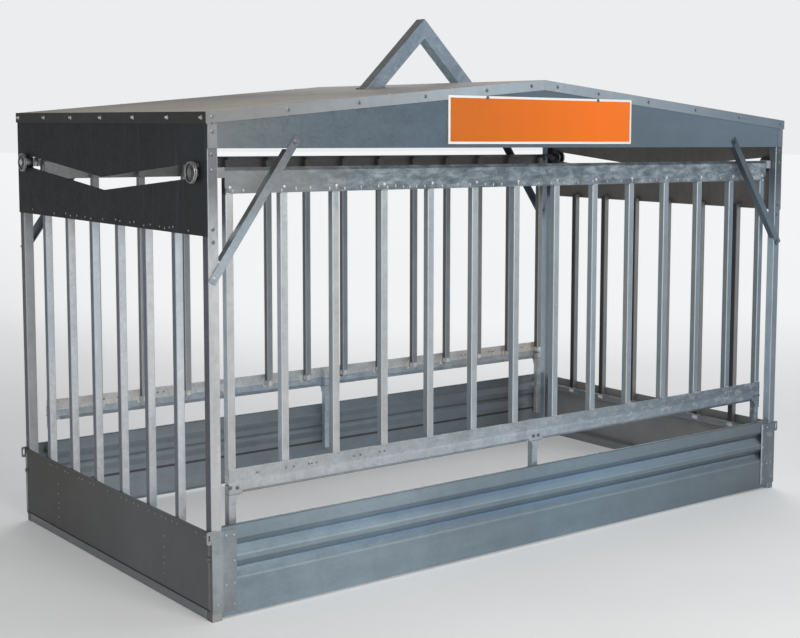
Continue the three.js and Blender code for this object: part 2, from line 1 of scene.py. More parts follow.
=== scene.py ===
import math
import random

import bpy
from mathutils import Matrix, Vector


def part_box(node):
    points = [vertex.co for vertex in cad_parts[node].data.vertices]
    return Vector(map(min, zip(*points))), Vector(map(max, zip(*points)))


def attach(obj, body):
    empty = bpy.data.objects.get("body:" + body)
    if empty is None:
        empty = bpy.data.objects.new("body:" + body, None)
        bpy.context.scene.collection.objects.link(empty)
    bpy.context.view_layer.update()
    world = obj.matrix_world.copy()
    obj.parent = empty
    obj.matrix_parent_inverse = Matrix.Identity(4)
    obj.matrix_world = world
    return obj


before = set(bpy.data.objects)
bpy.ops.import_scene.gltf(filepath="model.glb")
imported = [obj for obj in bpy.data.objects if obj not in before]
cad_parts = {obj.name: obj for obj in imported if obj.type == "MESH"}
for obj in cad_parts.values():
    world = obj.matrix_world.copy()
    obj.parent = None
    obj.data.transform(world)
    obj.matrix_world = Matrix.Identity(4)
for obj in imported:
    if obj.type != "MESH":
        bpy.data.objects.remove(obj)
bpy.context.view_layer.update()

LOW, HIGH = 0, 1
X, Y, Z = 0, 1, 2


def reach(node, corner, axis):
    """Where a node's low or high corner is along one axis, to the micrometre."""
    return round(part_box(node)[corner][axis], 6)


def middle_of(node, axis):
    """Halfway between a node's two corners along one axis."""
    return round((reach(node, LOW, axis) + reach(node, HIGH, axis)) / 2, 6)


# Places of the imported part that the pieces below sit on, in metres
HALF_LENGTH = reach("post_back_right", HIGH, X)
HALF_WIDTH = reach("post_back_right", HIGH, Y)
POST = HALF_LENGTH - reach("post_back_right", LOW, X)
BAR = HALF_LENGTH - reach("right_end_bar_1", LOW, X)
SHEET = 0.003
SEAT = 0.0003
SHEET_OUT = reach("right_track_panel", HIGH, X) - HALF_LENGTH
COVER_OUT = reach("right_roof_panel", HIGH, X) - HALF_LENGTH
EAVE = reach("post_back_right", HIGH, Z) + SHEET_OUT
ROOF_RISE = 0.146
RIDGE = EAVE + ROOF_RISE
ROOF_LIP = 0.040
FASCIA_FOOT = reach("front_fascia", LOW, Z)
BASE_RAIL_TOP = reach("right_base_rail", HIGH, Z)
MID_RAIL_TOP = reach("right_mid_rail", HIGH, Z)
END_SKIRT_FOOT = reach("right_end_skirt", LOW, Z)
END_SKIRT_TOP = reach("right_end_skirt", HIGH, Z)
AXLE_Y, AXLE_Z = middle_of("roller_back_right_tread", Y), middle_of("roller_back_right_tread", Z)

# The gates: their front plane, the plane behind their rails, and their bars
GATE_PLANE = reach("back_gate_grille", HIGH, Y)
BEHIND_PLANE = GATE_PLANE - SHEET
GATE_BARS = 14
GATE_FIRST_BAR = reach("front_gate_bottom_rail", LOW, X) + BAR / 2
GATE_PITCH = -2 * GATE_FIRST_BAR / (GATE_BARS - 1)
GATE_BAR_X = [GATE_FIRST_BAR + i * GATE_PITCH for i in range(GATE_BARS)]
BAR_FOOT = reach("front_gate_grille", LOW, Z)
BOTTOM_RAIL_TOP = reach("front_gate_bottom_rail", HIGH, Z)
TOP_RAIL_FOOT = 1.477

# The bars of an end, evenly spaced between its posts
END_BARS = 6
END_BAR_GAP = (2 * (HALF_WIDTH - POST) - END_BARS * BAR) / (END_BARS + 1)
END_BAR_PITCH = END_BAR_GAP + BAR
END_BAR_Y = [POST - HALF_WIDTH + END_BAR_GAP + BAR / 2 + i * END_BAR_PITCH for i in range(END_BARS)]

SEED = 11
FRONT, BACK = -1, 1
LEFT, RIGHT = -1, 1
SIDES, ENDS = (FRONT, BACK), (LEFT, RIGHT)
SIDE_NAME = {FRONT: "front", BACK: "back"}
END_NAME = {LEFT: "left", RIGHT: "right"}
CORNERS = [(side, end, f"{SIDE_NAME[side]}_{END_NAME[end]}") for side in SIDES for end in ENDS]
GATES = [(side, f"{SIDE_NAME[side]}_gate") for side in SIDES]


def roof_z(x):
    return RIDGE - ROOF_RISE * abs(x) / HALF_LENGTH


# Materials, by name
MATERIALS = {}


class Graph:
    """A node tree, built up from nothing."""

    def __init__(self, owner):
        owner.use_nodes = True
        self.tree = owner.node_tree
        self.tree.nodes.clear()

    def feed(self, socket, value):
        """Links a socket to another node's output, or sets its value."""
        if isinstance(value, bpy.types.NodeSocket):
            self.tree.links.new(value, socket)
        elif socket.type == "RGBA":
            socket.default_value = (*value, 1.0)
        else:
            socket.default_value = value

    def add(self, kind, feeds=None, **settings):
        """A new node, its settings, and what feeds its sockets by name or number."""
        node = self.tree.nodes.new(kind)
        for key, value in settings.items():
            setattr(node, key, value)
        for key, value in (feeds or {}).items():
            self.feed(node.inputs[key], value)
        return node

    def remap(self, value, low, high, to_low=0.0, to_high=1.0, smooth=False):
        feeds = dict(enumerate((value, low, high, to_low, to_high)))
        shape = "SMOOTHSTEP" if smooth else "LINEAR"
        return self.add("ShaderNodeMapRange", feeds, interpolation_type=shape).outputs["Result"]


class Finish(Graph):
    """A Principled material, and the small node graph that feeds it."""

    def __init__(self, name):
        MATERIALS[name] = bpy.data.materials.new(name)
        super().__init__(MATERIALS[name])
        self.shader = self.add("ShaderNodeBsdfPrincipled")
        self.add("ShaderNodeOutputMaterial", {"Surface": self.shader.outputs["BSDF"]})
        self.place = self.add("ShaderNodeTexCoord").outputs["Object"]
        self.normal = self.add("ShaderNodeNewGeometry").outputs["Normal"]

    def noise(self, scale, detail=4.0, stretch=(1, 1, 1), distortion=0.0, roughness=0.55):
        place = self.add("ShaderNodeMapping", {"Vector": self.place, "Scale": stretch}).outputs["Vector"]
        feeds = {"Vector": place, "Scale": scale, "Detail": detail}
        feeds |= {"Roughness": roughness, "Distortion": distortion}
        return self.add("ShaderNodeTexNoise", feeds).outputs["Fac"]

    def crystals(self, scale):
        cells = self.add("ShaderNodeTexVoronoi", {"Vector": self.place, "Scale": scale})
        return self.add("ShaderNodeSeparateColor", {"Color": cells.outputs["Color"]}).outputs["Red"]

    def axis(self, name, vector=None):
        return self.add("ShaderNodeSeparateXYZ", {"Vector": vector or self.place}).outputs[name]

    def lengthwise(self):
        """From 0 at the object's left end to 1 at its right end."""
        return self.remap(self.axis("X"), -HALF_LENGTH, HALF_LENGTH)

    def math(self, operation, a, b=0.0):
        return self.add("ShaderNodeMath", {0: a, 1: b}, operation=operation).outputs[0]

    def ramp(self, value, stops):
        node = self.add("ShaderNodeValToRGB", {"Fac": value})
        while len(node.color_ramp.elements) < len(stops):
            node.color_ramp.elements.new(0.5)
        for element, (position, colour) in zip(node.color_ramp.elements, stops):
            element.position = position
            element.color = (*colour, 1.0)
        return node.outputs["Color"]

    def mix(self, share, a, b, blend="MIX"):
        feeds = {"Factor": share, 6: a, 7: b}
        return self.add("ShaderNodeMix", feeds, data_type="RGBA", blend_type=blend).outputs[2]

    def times(self, colour, tint):
        return self.mix(1.0, colour, tint, "MULTIPLY")

    def bump(self, height, strength, distance):
        feeds = {"Height": height, "Strength": strength, "Distance": distance}
        self.feed(self.shader.inputs["Normal"], self.add("ShaderNodeBump", feeds).outputs["Normal"])

    def dulled(self, level):
        """Weaker reflections."""
        self.shader.inputs["Specular IOR Level"].default_value = level
        return self

    def surface(self, colour, rough, metallic):
        self.feed(self.shader.inputs["Base Color"], colour)
        self.feed(self.shader.inputs["Roughness"], rough)
        self.feed(self.shader.inputs["Metallic"], metallic)


def grey(value):
    return (value, value, value)


def scaled(colour, factor):
    return tuple(factor * channel for channel in colour)


def tones(middle, spread):
    """Ramp stops with a dark, a middle and a light tone about one colour."""
    dark, light = scaled(middle, 1 - spread), scaled(middle, 1 + spread)
    return [(0.0, dark), (0.5, middle), (1.0, tuple(min(1.0, channel) for channel in light))]


class Steel(Finish):
    """Hot-dip galvanised steel: crystals, cloudy blotches, and runs along one direction."""

    CLOUDS_SHARE, OTHER_SHARES = 0.42, (0.26, 0.10, 0.22)
    USUAL_TOTAL, USUAL_SPAN = 0.48, 0.17

    def __init__(self, name, middle, spread, blotch, streak=(9, 9, 9), crystal=110.0,
                 contrast=1.0, rough=(0.36, 0.6), metallic=0.6):
        super().__init__(name)
        self.metallic = metallic
        self.clouds = self.noise(blotch, 6.0, distortion=0.6)
        fine, flakes = self.noise(blotch * 7, 5.0), self.crystals(crystal)
        runs = self.noise(1.0, 4.0, stretch=streak)
        total = self.math("MULTIPLY", self.clouds, self.CLOUDS_SHARE)
        for part, share in zip((fine, flakes, runs), self.OTHER_SHARES):
            total = self.math("ADD", total, self.math("MULTIPLY", part, share))
        half = self.USUAL_SPAN / contrast
        self.value = self.remap(total, self.USUAL_TOTAL - half, self.USUAL_TOTAL + half)
        self.colour = self.ramp(self.value, tones(middle, spread))
        self.shine = self.remap(self.math("ADD", fine, flakes), 0.4, 1.5, *rough)
        self.bump(self.math("ADD", fine, self.math("MULTIPLY", flakes, 0.4)), 0.16, 0.0012)

    def tint(self, colour):
        self.colour = self.times(self.colour, colour)
        return self

    def cover(self, share, colour):
        self.colour = self.mix(share, self.colour, colour)
        return self

    def along(self, name, stops, low=-HALF_LENGTH, high=HALF_LENGTH):
        """Tints the steel along one axis."""
        return self.tint(self.ramp(self.remap(self.axis(name), low, high), stops))

    def facing(self, name, tint):
        """Tints the faces that look along one axis."""
        side = self.math("ABSOLUTE", self.axis(name, self.normal))
        return self.cover(self.remap(side, 0.6, 0.85), self.times(self.colour, tint))

    def corners(self, colour, most):
        """Brighter steel on the rounded corners between faces along X and Y: a painted highlight."""
        across = self.math("ABSOLUTE", self.axis("X", self.normal))
        away = self.math("ABSOLUTE", self.axis("Y", self.normal))
        return self.cover(self.remap(self.math("MINIMUM", across, away), 0.12, 0.45, 0.0, most), colour)

    def stained(self, colour, scale, low, high, most, stretch=(1, 1, 1)):
        """Patches of another tone."""
        clouds = self.noise(scale, 5.0, stretch=stretch, distortion=0.8)
        return self.cover(self.remap(clouds, low, high, 0.0, most), colour)

    def splashed(self, top=0.16):
        """Dust low down, where mud and rain reach."""
        low = self.math("MULTIPLY", self.remap(self.axis("Z"), top, 0.0), self.clouds)
        return self.cover(self.math("MULTIPLY", low, 0.8), (0.20, 0.19, 0.17))

    def done(self):
        self.surface(self.colour, self.shine, self.metallic)


# Streaks along each axis, shared tones, and ramp stops from a face's low end to its high end
ALONG_X, ALONG_Y, ALONG_Z = (1.2, 26, 26), (26, 1.2, 26), (26, 26, 1.6)
WHITE, BLACK = grey(1.0), grey(0.0)
# A pale grey: mixed in on rounded corners as a painted highlight, and multiplied onto the beams' faces along
# X as painted shade
HIGHLIGHT_AND_SHADE_GREY = (0.62, 0.66, 0.70)
FINE_CRYSTALS = 150.0
ACROSS = (-0.8, 0.8)
EVEN_TINTS = [(0.0, WHITE), (1.0, WHITE)]
# Painted light on the left end's sheets: lighter at the front, darker towards the back
LEFT_SKIRT_TINTS = [
    (0.0, (1.27, 1.30, 1.35)), (0.31, (1.28, 1.30, 1.34)), (0.5, (1.10, 1.11, 1.11)),
    (0.69, (1.0, 0.99, 0.94)), (0.875, (0.85, 0.84, 0.78)), (1.0, (0.82, 0.82, 0.80)),
]
LEFT_PANEL_TINTS = [
    (0.0, (1.35, 1.4, 1.42)), (0.2, (1.12, 1.15, 1.15)), (0.5, (0.88, 0.90, 0.90)),
    (0.85, (0.60, 0.61, 0.62)),
]
# The top rail's mottled tones, darker than the bars as a painted reflection
RAIL_CLOUDS = [(0.0, (0.08, 0.105, 0.13)), (0.45, (0.165, 0.20, 0.225)), (1.0, (0.38, 0.43, 0.465))]
# Painted light on the back gate's top rail, strongest at its left end
BACK_RAIL_TINTS = [
    (0.0, (3.0, 2.9, 2.8)), (0.06, (2.4, 2.3, 2.2)), (0.2, (1.3, 1.24, 1.18)),
    (0.35, (0.80, 0.76, 0.72)),
]
# Painted light and shade on the bars' faces along X, along the gate; the back gate's sides are dimmed evenly
# as painted shade
BAR_SIDE_TINTS = [
    (0.10, (1.1, 1.15, 1.2)), (0.16, (0.82, 0.86, 0.88)), (0.42, (0.80, 0.84, 0.86)),
    (0.55, (0.95, 1.0, 1.0)), (0.70, (1.25, 1.2, 1.13)), (1.0, (1.3, 1.2, 1.12)),
]
DIM_SIDE_TINTS = [(0.0, grey(0.45)), (1.0, grey(0.45))]
# Painted light and reflection along the roof's top and along its side lips
ROOF_TINTS = [
    (0.0, (1.5, 1.42, 1.3)), (0.16, (1.1, 1.08, 1.04)), (0.28, (0.68, 0.68, 0.67)),
    (0.47, grey(1.2)), (1.0, grey(1.1)),
]
ROOF_LIP_TINTS = [
    (0.05, (0.66, 0.58, 0.52)), (0.37, WHITE), (0.62, (0.86, 0.88, 0.9)),
    (0.95, (0.46, 0.52, 0.56)),
]

# The long skirts: painted reflection along them, painted light and shade at their four folds, and a painted
# sky reflection on their outside
SKIRT_TINTS = [
    (0.0, grey(1.06)), (0.2, (1.22, 1.2, 1.18)), (0.35, (1.04, 1.03, 1.03)),
    (0.5, (0.9, 0.94, 0.95)), (0.6, (0.94, 0.98, 1.0)), (1.0, (0.58, 0.54, 0.52)),
]
SKIRT_TOP_EDGE = (0.322, 0.334)
SKIRT_FOLDS = (0.141, 0.199, 0.221, 0.279)
SKIRT_FOLD_SPAN = (0.12, 0.30)
FOLD_OUTSIDE = (grey(1.3), grey(0.72), grey(1.3), grey(0.72))
FOLD_INSIDE = ((0.30, 0.27, 0.28), (1.15, 1.16, 1.16), (0.60, 0.60, 0.62), grey(1.12))
OUTSIDE_FOLD_WIDTHS, INSIDE_FOLD_WIDTHS = (0.010, 0.030), (0.022, 0.044)
SKY_BANDS = [
    (0.17, BLACK), (0.26, WHITE), (0.36, WHITE), (0.41, BLACK),
    (0.61, BLACK), (0.70, WHITE), (0.80, WHITE), (0.85, BLACK),
]
SKY_TINTS = [
    (0.03, (0.92, 0.94, 0.96)), (0.22, (0.74, 0.83, 0.95)), (0.55, (0.71, 0.79, 0.92)),
    (0.82, (0.70, 0.71, 0.73)),
]

# Where one tone of a gate gives way to the next, in metres
TOP_RAIL_EDGE = (TOP_RAIL_FOOT - 0.005, TOP_RAIL_FOOT + 0.001)
HANGER_EDGE = (1.425, 1.435)
PLAIN_TOP_RAIL = (-1.25, -0.75)
PLAIN_BOTTOM_RAIL = (-1.3, -0.5)
BOTTOM_RAIL_FACE = (0.428, BOTTOM_RAIL_TOP)


def post_steel():
    finish = Steel("posts", (0.53, 0.54, 0.55), 0.18, 5.0, ALONG_Z)
    # Painted light: lighter at the left end, bluer and darker to the right; painted shade: darker towards the
    # top, and on the sides along X, which are lightened near the right end; painted highlight on the corners
    finish.along("X", [(0.0, WHITE), (1.0, (0.40, 0.48, 0.54))])
    dim, shade = (0.30, 0.31, 0.32), (0.26, 0.27, 0.30)
    finish.along("Z", [(0.0, WHITE), (0.45, (0.72, 0.73, 0.74)), (0.8, dim), (1.0, dim)], 1.15, 1.6)
    finish.facing("X", finish.ramp(finish.lengthwise(), [(0.0, shade), (0.9, shade), (0.95, grey(2.3))]))
    finish.corners(HIGHLIGHT_AND_SHADE_GREY, 0.8).splashed().done()


def end_bar_steel():
    finish = Steel("end_bars", (0.42, 0.43, 0.44), 0.18, 7.0, ALONG_Z)
    finish.stained((0.36, 0.42, 0.48), 6.0, 0.50, 0.66, 0.6, (1, 1, 0.2))
    # Painted light on the faces along Y; painted shade on the sides along X and at the right end; painted
    # highlight on the corners
    finish.facing("Y", grey(1.95)).facing("X", (0.46, 0.49, 0.56)).corners(HIGHLIGHT_AND_SHADE_GREY, 0.7)
    dim = (0.34, 0.32, 0.30)
    finish.along("X", [(0.5, WHITE), (0.9, dim), (1.0, dim)]).splashed().done()


def beam_steel():
    finish = Steel("beam_y", (0.47, 0.49, 0.50), 0.22, 5.0, ALONG_Y)
    # The faces along X are darkened by the pale grey: painted shade
    finish.facing("X", HIGHLIGHT_AND_SHADE_GREY).splashed(0.12).done()


def lift_steel():
    """The bail and its beam: faces turned down much lighter, and faces turned up darker and warmer, as
    painted light and shade.
    """
    finish = Steel("lift_gear", (0.235, 0.29, 0.345), 0.34, 6.0, ALONG_X)
    finish.stained((0.42, 0.48, 0.53), 30.0, 0.50, 0.68, 0.5)
    slope = finish.remap(finish.axis("Z", finish.normal), -1.0, 1.0)
    stops = [(0.18, (2.5, 2.7, 2.8)), (0.45, WHITE), (0.55, WHITE), (0.82, (0.84, 0.69, 0.60))]
    finish.tint(finish.ramp(slope, stops)).done()


def bar_steel(name, right_tint, rail_tints, side_tints, right_arm, cloudy=1.0):
    """A grille: smooth drawn bars with long soft runs, and a cloudy top rail kept darker as a painted
    reflection.
    """
    finish = Steel(name, (0.50, 0.51, 0.515), 0.2, 11.0, (34, 34, 1.3), contrast=0.8)
    # Painted light: lighter at the left, bluer and darker to the right
    finish.along("X", [(0.15, WHITE), (0.55, (0.72, 0.80, 0.86)), (0.9, right_tint)])
    finish.stained((0.27, 0.33, 0.40), 9.0, 0.58, 0.70, 0.45, (1, 1, 0.35))
    place = finish.lengthwise()
    # Painted light and shade on the side faces along X, and a painted highlight on the corners
    finish.facing("X", finish.ramp(place, side_tints)).corners((0.72, 0.78, 0.83), 0.8)
    clouds = finish.noise(24.0, 8.0, stretch=(0.6, 1, 1.5), distortion=0.35, roughness=0.66)
    rail = finish.ramp(finish.remap(clouds, 0.30, 0.70), RAIL_CLOUDS)
    plain = finish.remap(finish.axis("X"), *PLAIN_TOP_RAIL, 0.8, 1.0 - cloudy, smooth=True)
    # The rail's tints along the gate: painted light, on the back gate only
    rail = finish.times(finish.mix(plain, rail, (0.25, 0.255, 0.26)), finish.ramp(place, rail_tints))
    specks = finish.remap(finish.noise(150.0, 3.0, stretch=(0.7, 1, 1)), 0.66, 0.72, 0.0, 0.7)
    speckled = finish.math("MULTIPLY", specks, finish.remap(place, 0.1, 0.9, 0.1, 1.0))
    rail = finish.mix(speckled, rail, (0.60, 0.64, 0.67))
    # The top rail's right end takes its own tone: painted light on the front gate, painted shade on the back
    # gate
    rail = finish.mix(finish.remap(finish.axis("X"), *HANGER_EDGE), rail, right_arm)
    finish.cover(finish.remap(finish.axis("Z"), *TOP_RAIL_EDGE), rail).done()


def rail_steel(name, right_tint, lightness, lower, upper, plain_end):
    """A bottom rail, creased along its middle into a lower and an upper tone, with a lighter line on the
    crease and a dark band near its foot: the two tones, the line and the band are painted light and shade.
    """
    middle = scaled((0.45, 0.465, 0.485), lightness)
    finish = Steel(name, middle, 0.26, 12.0, ALONG_X)
    # Painted light: lighter at the left end, darker towards the right
    finish.along("X", [(0.1, WHITE), (0.45, (0.84, 0.93, 1.0)), (0.92, right_tint)])
    crease = tuple(1.12 * max(pair) for pair in zip(lower, upper))
    flat = tuple(0.5 * sum(pair) for pair in zip(lower, upper))
    edge = scaled(lower, 0.6)
    foot = [(0.005, edge), (0.035, edge)]
    creased = [(0.0, lower), *foot, (0.06, lower), (0.46, lower), (0.50, crease), (0.54, upper), (1.0, upper)]
    plain = [(0.0, flat), *foot, (0.06, flat), (1.0, flat)]
    height = finish.remap(finish.axis("Z"), *BOTTOM_RAIL_FACE)
    share = finish.remap(finish.axis("X"), *PLAIN_BOTTOM_RAIL, plain_end, 1.0)
    finish.tint(finish.mix(share, finish.ramp(height, plain), finish.ramp(height, creased)))
    mottle = finish.noise(42.0, 6.0, stretch=(0.6, 1, 1), distortion=0.5)
    mottle = finish.math("MULTIPLY", finish.remap(mottle, 0.50, 0.68, 0.0, 0.38), share)
    finish.cover(mottle, scaled(middle, 1.35)).done()


def smooth_sheet(name, tone, spread):
    return Steel(name, tone, spread, 2.2, ALONG_X, FINE_CRYSTALS, rough=(0.34, 0.52), metallic=0.55)


def fascia_steel():
    # Lighter and warmer at the left end: a painted reflection
    warm = [(0.0, (1.45, 1.2, 1.02)), (0.16, (1.0, 0.96, 0.94)), (0.3, WHITE), (1.0, WHITE)]
    smooth_sheet("fascia", (0.108, 0.145, 0.178), 0.14).along("X", warm).done()


def fold_stops(tints, widths):
    """Ramp stops that tint a thin band of the skirt at each of its four folds, painting light and shade on
    the folds.
    """
    band_half, fade_half = widths
    foot, head = SKIRT_FOLD_SPAN
    stops = [(0.0, WHITE)]
    for fold, tint in zip(SKIRT_FOLDS, tints):
        middle = (fold - foot) / (head - foot)
        for offset, band in ((-fade_half, WHITE), (-band_half, tint), (band_half, tint), (fade_half, WHITE)):
            stops.append((middle + offset, band))
    return stops


def skirt_steel():
    finish = smooth_sheet("side_skirt", (0.232, 0.295, 0.340), 0.18).along("X", SKIRT_TINTS)
    finish.along("Z", [(0.0, WHITE), (0.5, WHITE), (0.75, grey(0.5)), (1.0, grey(0.5))], *SKIRT_TOP_EDGE)
    height, place = finish.remap(finish.axis("Z"), *SKIRT_FOLD_SPAN), finish.lengthwise()
    inside = finish.ramp(height, fold_stops(FOLD_INSIDE, INSIDE_FOLD_WIDTHS))
    # Painted light on the inside near the right end, and a warm painted reflection over the whole inside
    inside = finish.times(inside, finish.ramp(place, [(0.93, WHITE), (0.95, grey(2.4))]))
    inside = finish.times(inside, (1.14, 1.03, 1.0))
    outside = finish.ramp(height, fold_stops(FOLD_OUTSIDE, OUTSIDE_FOLD_WIDTHS))
    reflecting = finish.times(outside, finish.ramp(place, SKY_TINTS))
    outside = finish.mix(finish.ramp(height, SKY_BANDS), outside, reflecting)
    outward = finish.math("MULTIPLY", finish.axis("Y"), finish.axis("Y", finish.normal))
    finish.tint(finish.mix(finish.math("GREATER_THAN", outward, 0.0), inside, outside)).done()


def dull_sheet(name, tone, spread, blotch, streak):
    finish = Steel(name, tone, spread, blotch, streak, FINE_CRYSTALS, rough=(0.46, 0.6), metallic=0.25)
    return finish.dulled(0.22)


def end_skirt_sheet(name, tone, tints):
    """A smooth dull end skirt, a little darker and warmer towards its top."""
    finish = dull_sheet(name, tone, 0.15, 1.7, (6, 6, 6))
    stops = [(0.0, (1.06, 1.08, 1.10)), (0.5, WHITE), (1.0, (0.95, 0.94, 0.92))]
    finish.along("Z", stops, BASE_RAIL_TOP, END_SKIRT_TOP).along("Y", tints, *ACROSS).done()


def end_sheet(name, tone, tints):
    """A dark end sheet with light upright streaks, and its own tints from the front to the back."""
    finish = dull_sheet(name, tone, 0.24, 2.2, (22, 22, 1.0))
    light = tuple(min(2.2 * channel, channel + 0.06) for channel in tone)
    finish.stained(light, 7.0, 0.50, 0.72, 0.22)
    finish.stained(light, 42.0, 0.56, 0.72, 0.45, (1, 1, 0.1))
    finish.stained(light, 14.0, 0.61, 0.74, 0.5, (1, 1, 0.12))
    finish.along("Y", tints, *ACROSS).done()


def roof_steel():
    """Warm grey on top, with cooler folded edges at the sides and dark ones at the ends, as painted light and
    shade of one sheet, with painted reflection along the top and the side edges.
    """
    rough = (0.62, 0.78)
    finish = Steel("roof_sheet", (0.235, 0.212, 0.180), 0.2, 2.6, ALONG_Y, FINE_CRYSTALS, 1.0, rough, 0.15)
    finish.along("X", ROOF_TINTS)
    upward = finish.math("ABSOLUTE", finish.axis("Z", finish.normal))
    endward = finish.math("ABSOLUTE", finish.axis("X", finish.normal))
    side = finish.ramp(finish.value, [(0.0, (0.28, 0.325, 0.365)), (1.0, (0.38, 0.44, 0.49))])
    side = finish.times(side, finish.ramp(finish.lengthwise(), ROOF_LIP_TINTS))
    end = finish.ramp(finish.value, [(0.0, grey(0.035)), (1.0, grey(0.06))])
    lip = finish.mix(finish.remap(endward, 0.6, 0.8), side, end)
    finish.colour = finish.mix(finish.remap(upward, 0.5, 0.7), lip, finish.colour)
    finish.done()


def plate_steel():
    """Corner plates: light outer edges on the left, and bright inner edges on the right, where the plates are
    otherwise dimmed; the bright line and the dimming are painted highlight and painted shade.
    """
    finish = Steel("corner_plate", (0.285, 0.312, 0.333), 0.22, 14.0, (34, 34, 3.0), contrast=0.9)
    light, plain, dim, bright = (1.25, 1.25, 1.22), (0.95, 0.98, 1.0), (0.55, 0.60, 0.64), (1.7, 1.8, 1.85)
    stops = [(0.0, light), (0.0125, light), (0.0145, plain), (0.5, plain), (0.967, dim)]
    stops += [(0.9682, bright), (0.9702, bright), (0.9715, dim), (1.0, dim)]
    finish.along("X", stops)
    finish.stained((0.16, 0.18, 0.20), 30.0, 0.60, 0.75, 0.3, (1, 1, 0.3))
    finish.stained((0.40, 0.44, 0.47), 20.0, 0.54, 0.70, 0.4).splashed(0.1).done()


def brace_steel():
    finish = Steel("brace", (0.35, 0.39, 0.42), 0.2, 9.0, crystal=200.0, rough=(0.35, 0.5))
    # Painted shade: darker towards the top under the fascia; painted light: lighter at the left end, darker
    # towards the right
    upward = [(0.0, WHITE), (0.35, (0.92, 0.96, 1.0)), (0.6, (0.78, 0.76, 0.75)), (1.0, (0.42, 0.42, 0.44))]
    finish.along("Z", upward, 1.2, 1.66).along("X", [(0.2, WHITE), (0.8, (0.38, 0.42, 0.45))]).done()


def small_steel(name, middle, rough, metallic=0.9):
    return Steel(name, middle, 0.28, 30.0, crystal=300.0, rough=rough, metallic=metallic)


def roller_steel():
    """Bright turned rims and treads; the plate faces along X are darkened and the right end's rollers dimmed,
    as painted shade.
    """
    finish = small_steel("roller", (0.50, 0.52, 0.54), (0.3, 0.5), 0.7)
    finish.along("X", [(0.5, WHITE), (0.95, grey(0.5))]).facing("X", (0.22, 0.23, 0.25)).done()


def strip_steel():
    finish = Steel("corner_strip", (0.22, 0.23, 0.235), 0.2, 5.0, ALONG_Z)
    # Bluer and darker towards the right end: painted light
    finish.along("X", [(0.0, WHITE), (1.0, (0.62, 0.72, 0.80))]).done()


def sealant():
    finish = Finish("sealant")
    clouds, fine = finish.noise(40.0, 4.0), finish.noise(260.0, 3.0)
    finish.bump(fine, 0.3, 0.0006)
    colour = finish.ramp(clouds, [(0.3, (0.19, 0.19, 0.18)), (0.7, (0.27, 0.27, 0.26))])
    finish.surface(colour, finish.remap(fine, 0.3, 0.7, 0.5, 0.7), 0.0)


# The sign plate's edges and its plain border, in metres
SIGN_X = (-0.487, 0.490)
SIGN_Z = (1.646, 1.831)
SIGN_BORDER = 0.009


def inside_border(finish, axis, edges):
    """1 between the sign's two borders along one axis, and 0 on them."""
    low, high = edges
    away = finish.math("ABSOLUTE", finish.math("SUBTRACT", finish.axis(axis), (low + high) / 2))
    return finish.math("LESS_THAN", away, (high - low) / 2 - SIGN_BORDER)


def sign_finish():
    """Orange print inside a white border, a little faded towards the left and scuffed."""
    finish = Finish("sign_print").dulled(0.2)
    clouds, scuffs = finish.noise(3.0, 4.0), finish.noise(60.0, 6.0, stretch=(0.4, 1, 2.2))
    faded = [(0.0, (0.50, 0.125, 0.014)), (1.0, (0.84, 0.165, 0.006))]
    orange = finish.ramp(finish.remap(finish.axis("X"), -0.48, 0.3), faded)
    orange = finish.mix(finish.remap(clouds, 0.3, 0.8, 0.0, 0.25), orange, (0.90, 0.20, 0.012))
    inside = finish.math("MULTIPLY", inside_border(finish, "X", SIGN_X), inside_border(finish, "Z", SIGN_Z))
    colour = finish.mix(inside, (0.78, 0.78, 0.76), orange)
    colour = finish.mix(finish.remap(scuffs, 0.62, 0.85, 0.0, 0.22), colour, (0.45, 0.38, 0.30))
    finish.bump(scuffs, 0.05, 0.0004)
    finish.surface(colour, finish.remap(clouds, 0.2, 0.8, 0.34, 0.48), 0.0)


post_steel()
end_bar_steel()
beam_steel()
lift_steel()
# The back gate's steel is the front gate's with other tints: painted shade on its bar sides and on its top
# rail's right end, painted light on its top rail's left end and on its bottom rail
bar_steel("front_bars", (0.40, 0.50, 0.58), EVEN_TINTS, BAR_SIDE_TINTS, (0.62, 0.65, 0.68))
bar_steel("back_bars", (0.66, 0.65, 0.63), BACK_RAIL_TINTS, DIM_SIDE_TINTS, (0.16, 0.165, 0.17), 0.2)
rail_steel("front_rail", (0.36, 0.44, 0.50), 1.0, grey(1.06), (0.90, 0.90, 0.89), 0.2)
rail_steel("back_rail", (0.86, 0.82, 0.78), 1.3, (0.95, 1.02, 1.06), (1.45, 1.36, 1.26), 1)
fascia_steel()
skirt_steel()
# The left end's sheets take dark tones as painted shade, and the right end's sheets lighter tones of the same
# steel as painted light
end_skirt_sheet("left_skirt", (0.125, 0.127, 0.127), LEFT_SKIRT_TINTS)
end_sheet("left_panel", (0.0215, 0.0245, 0.028), LEFT_PANEL_TINTS)
end_skirt_sheet("right_skirt", (0.30, 0.305, 0.305), EVEN_TINTS)
end_sheet("right_panel", (0.20, 0.19, 0.178), EVEN_TINTS)
roof_steel()
plate_steel()
brace_steel()
roller_steel()
small_steel("bolt", grey(0.22), (0.28, 0.45)).done()
small_steel("rivet", grey(0.50), (0.3, 0.45)).done()
small_steel("dim_rivet", grey(0.36), (0.3, 0.45)).done()
small_steel("weld", grey(0.60), (0.35, 0.6), 0.6).done()
small_steel("drip", grey(0.44), (0.35, 0.6), 0.6).done()
small_steel("zinc_paint", grey(0.80), (0.5, 0.65), 0.15).done()
strip_steel()
sealant()
sign_finish()

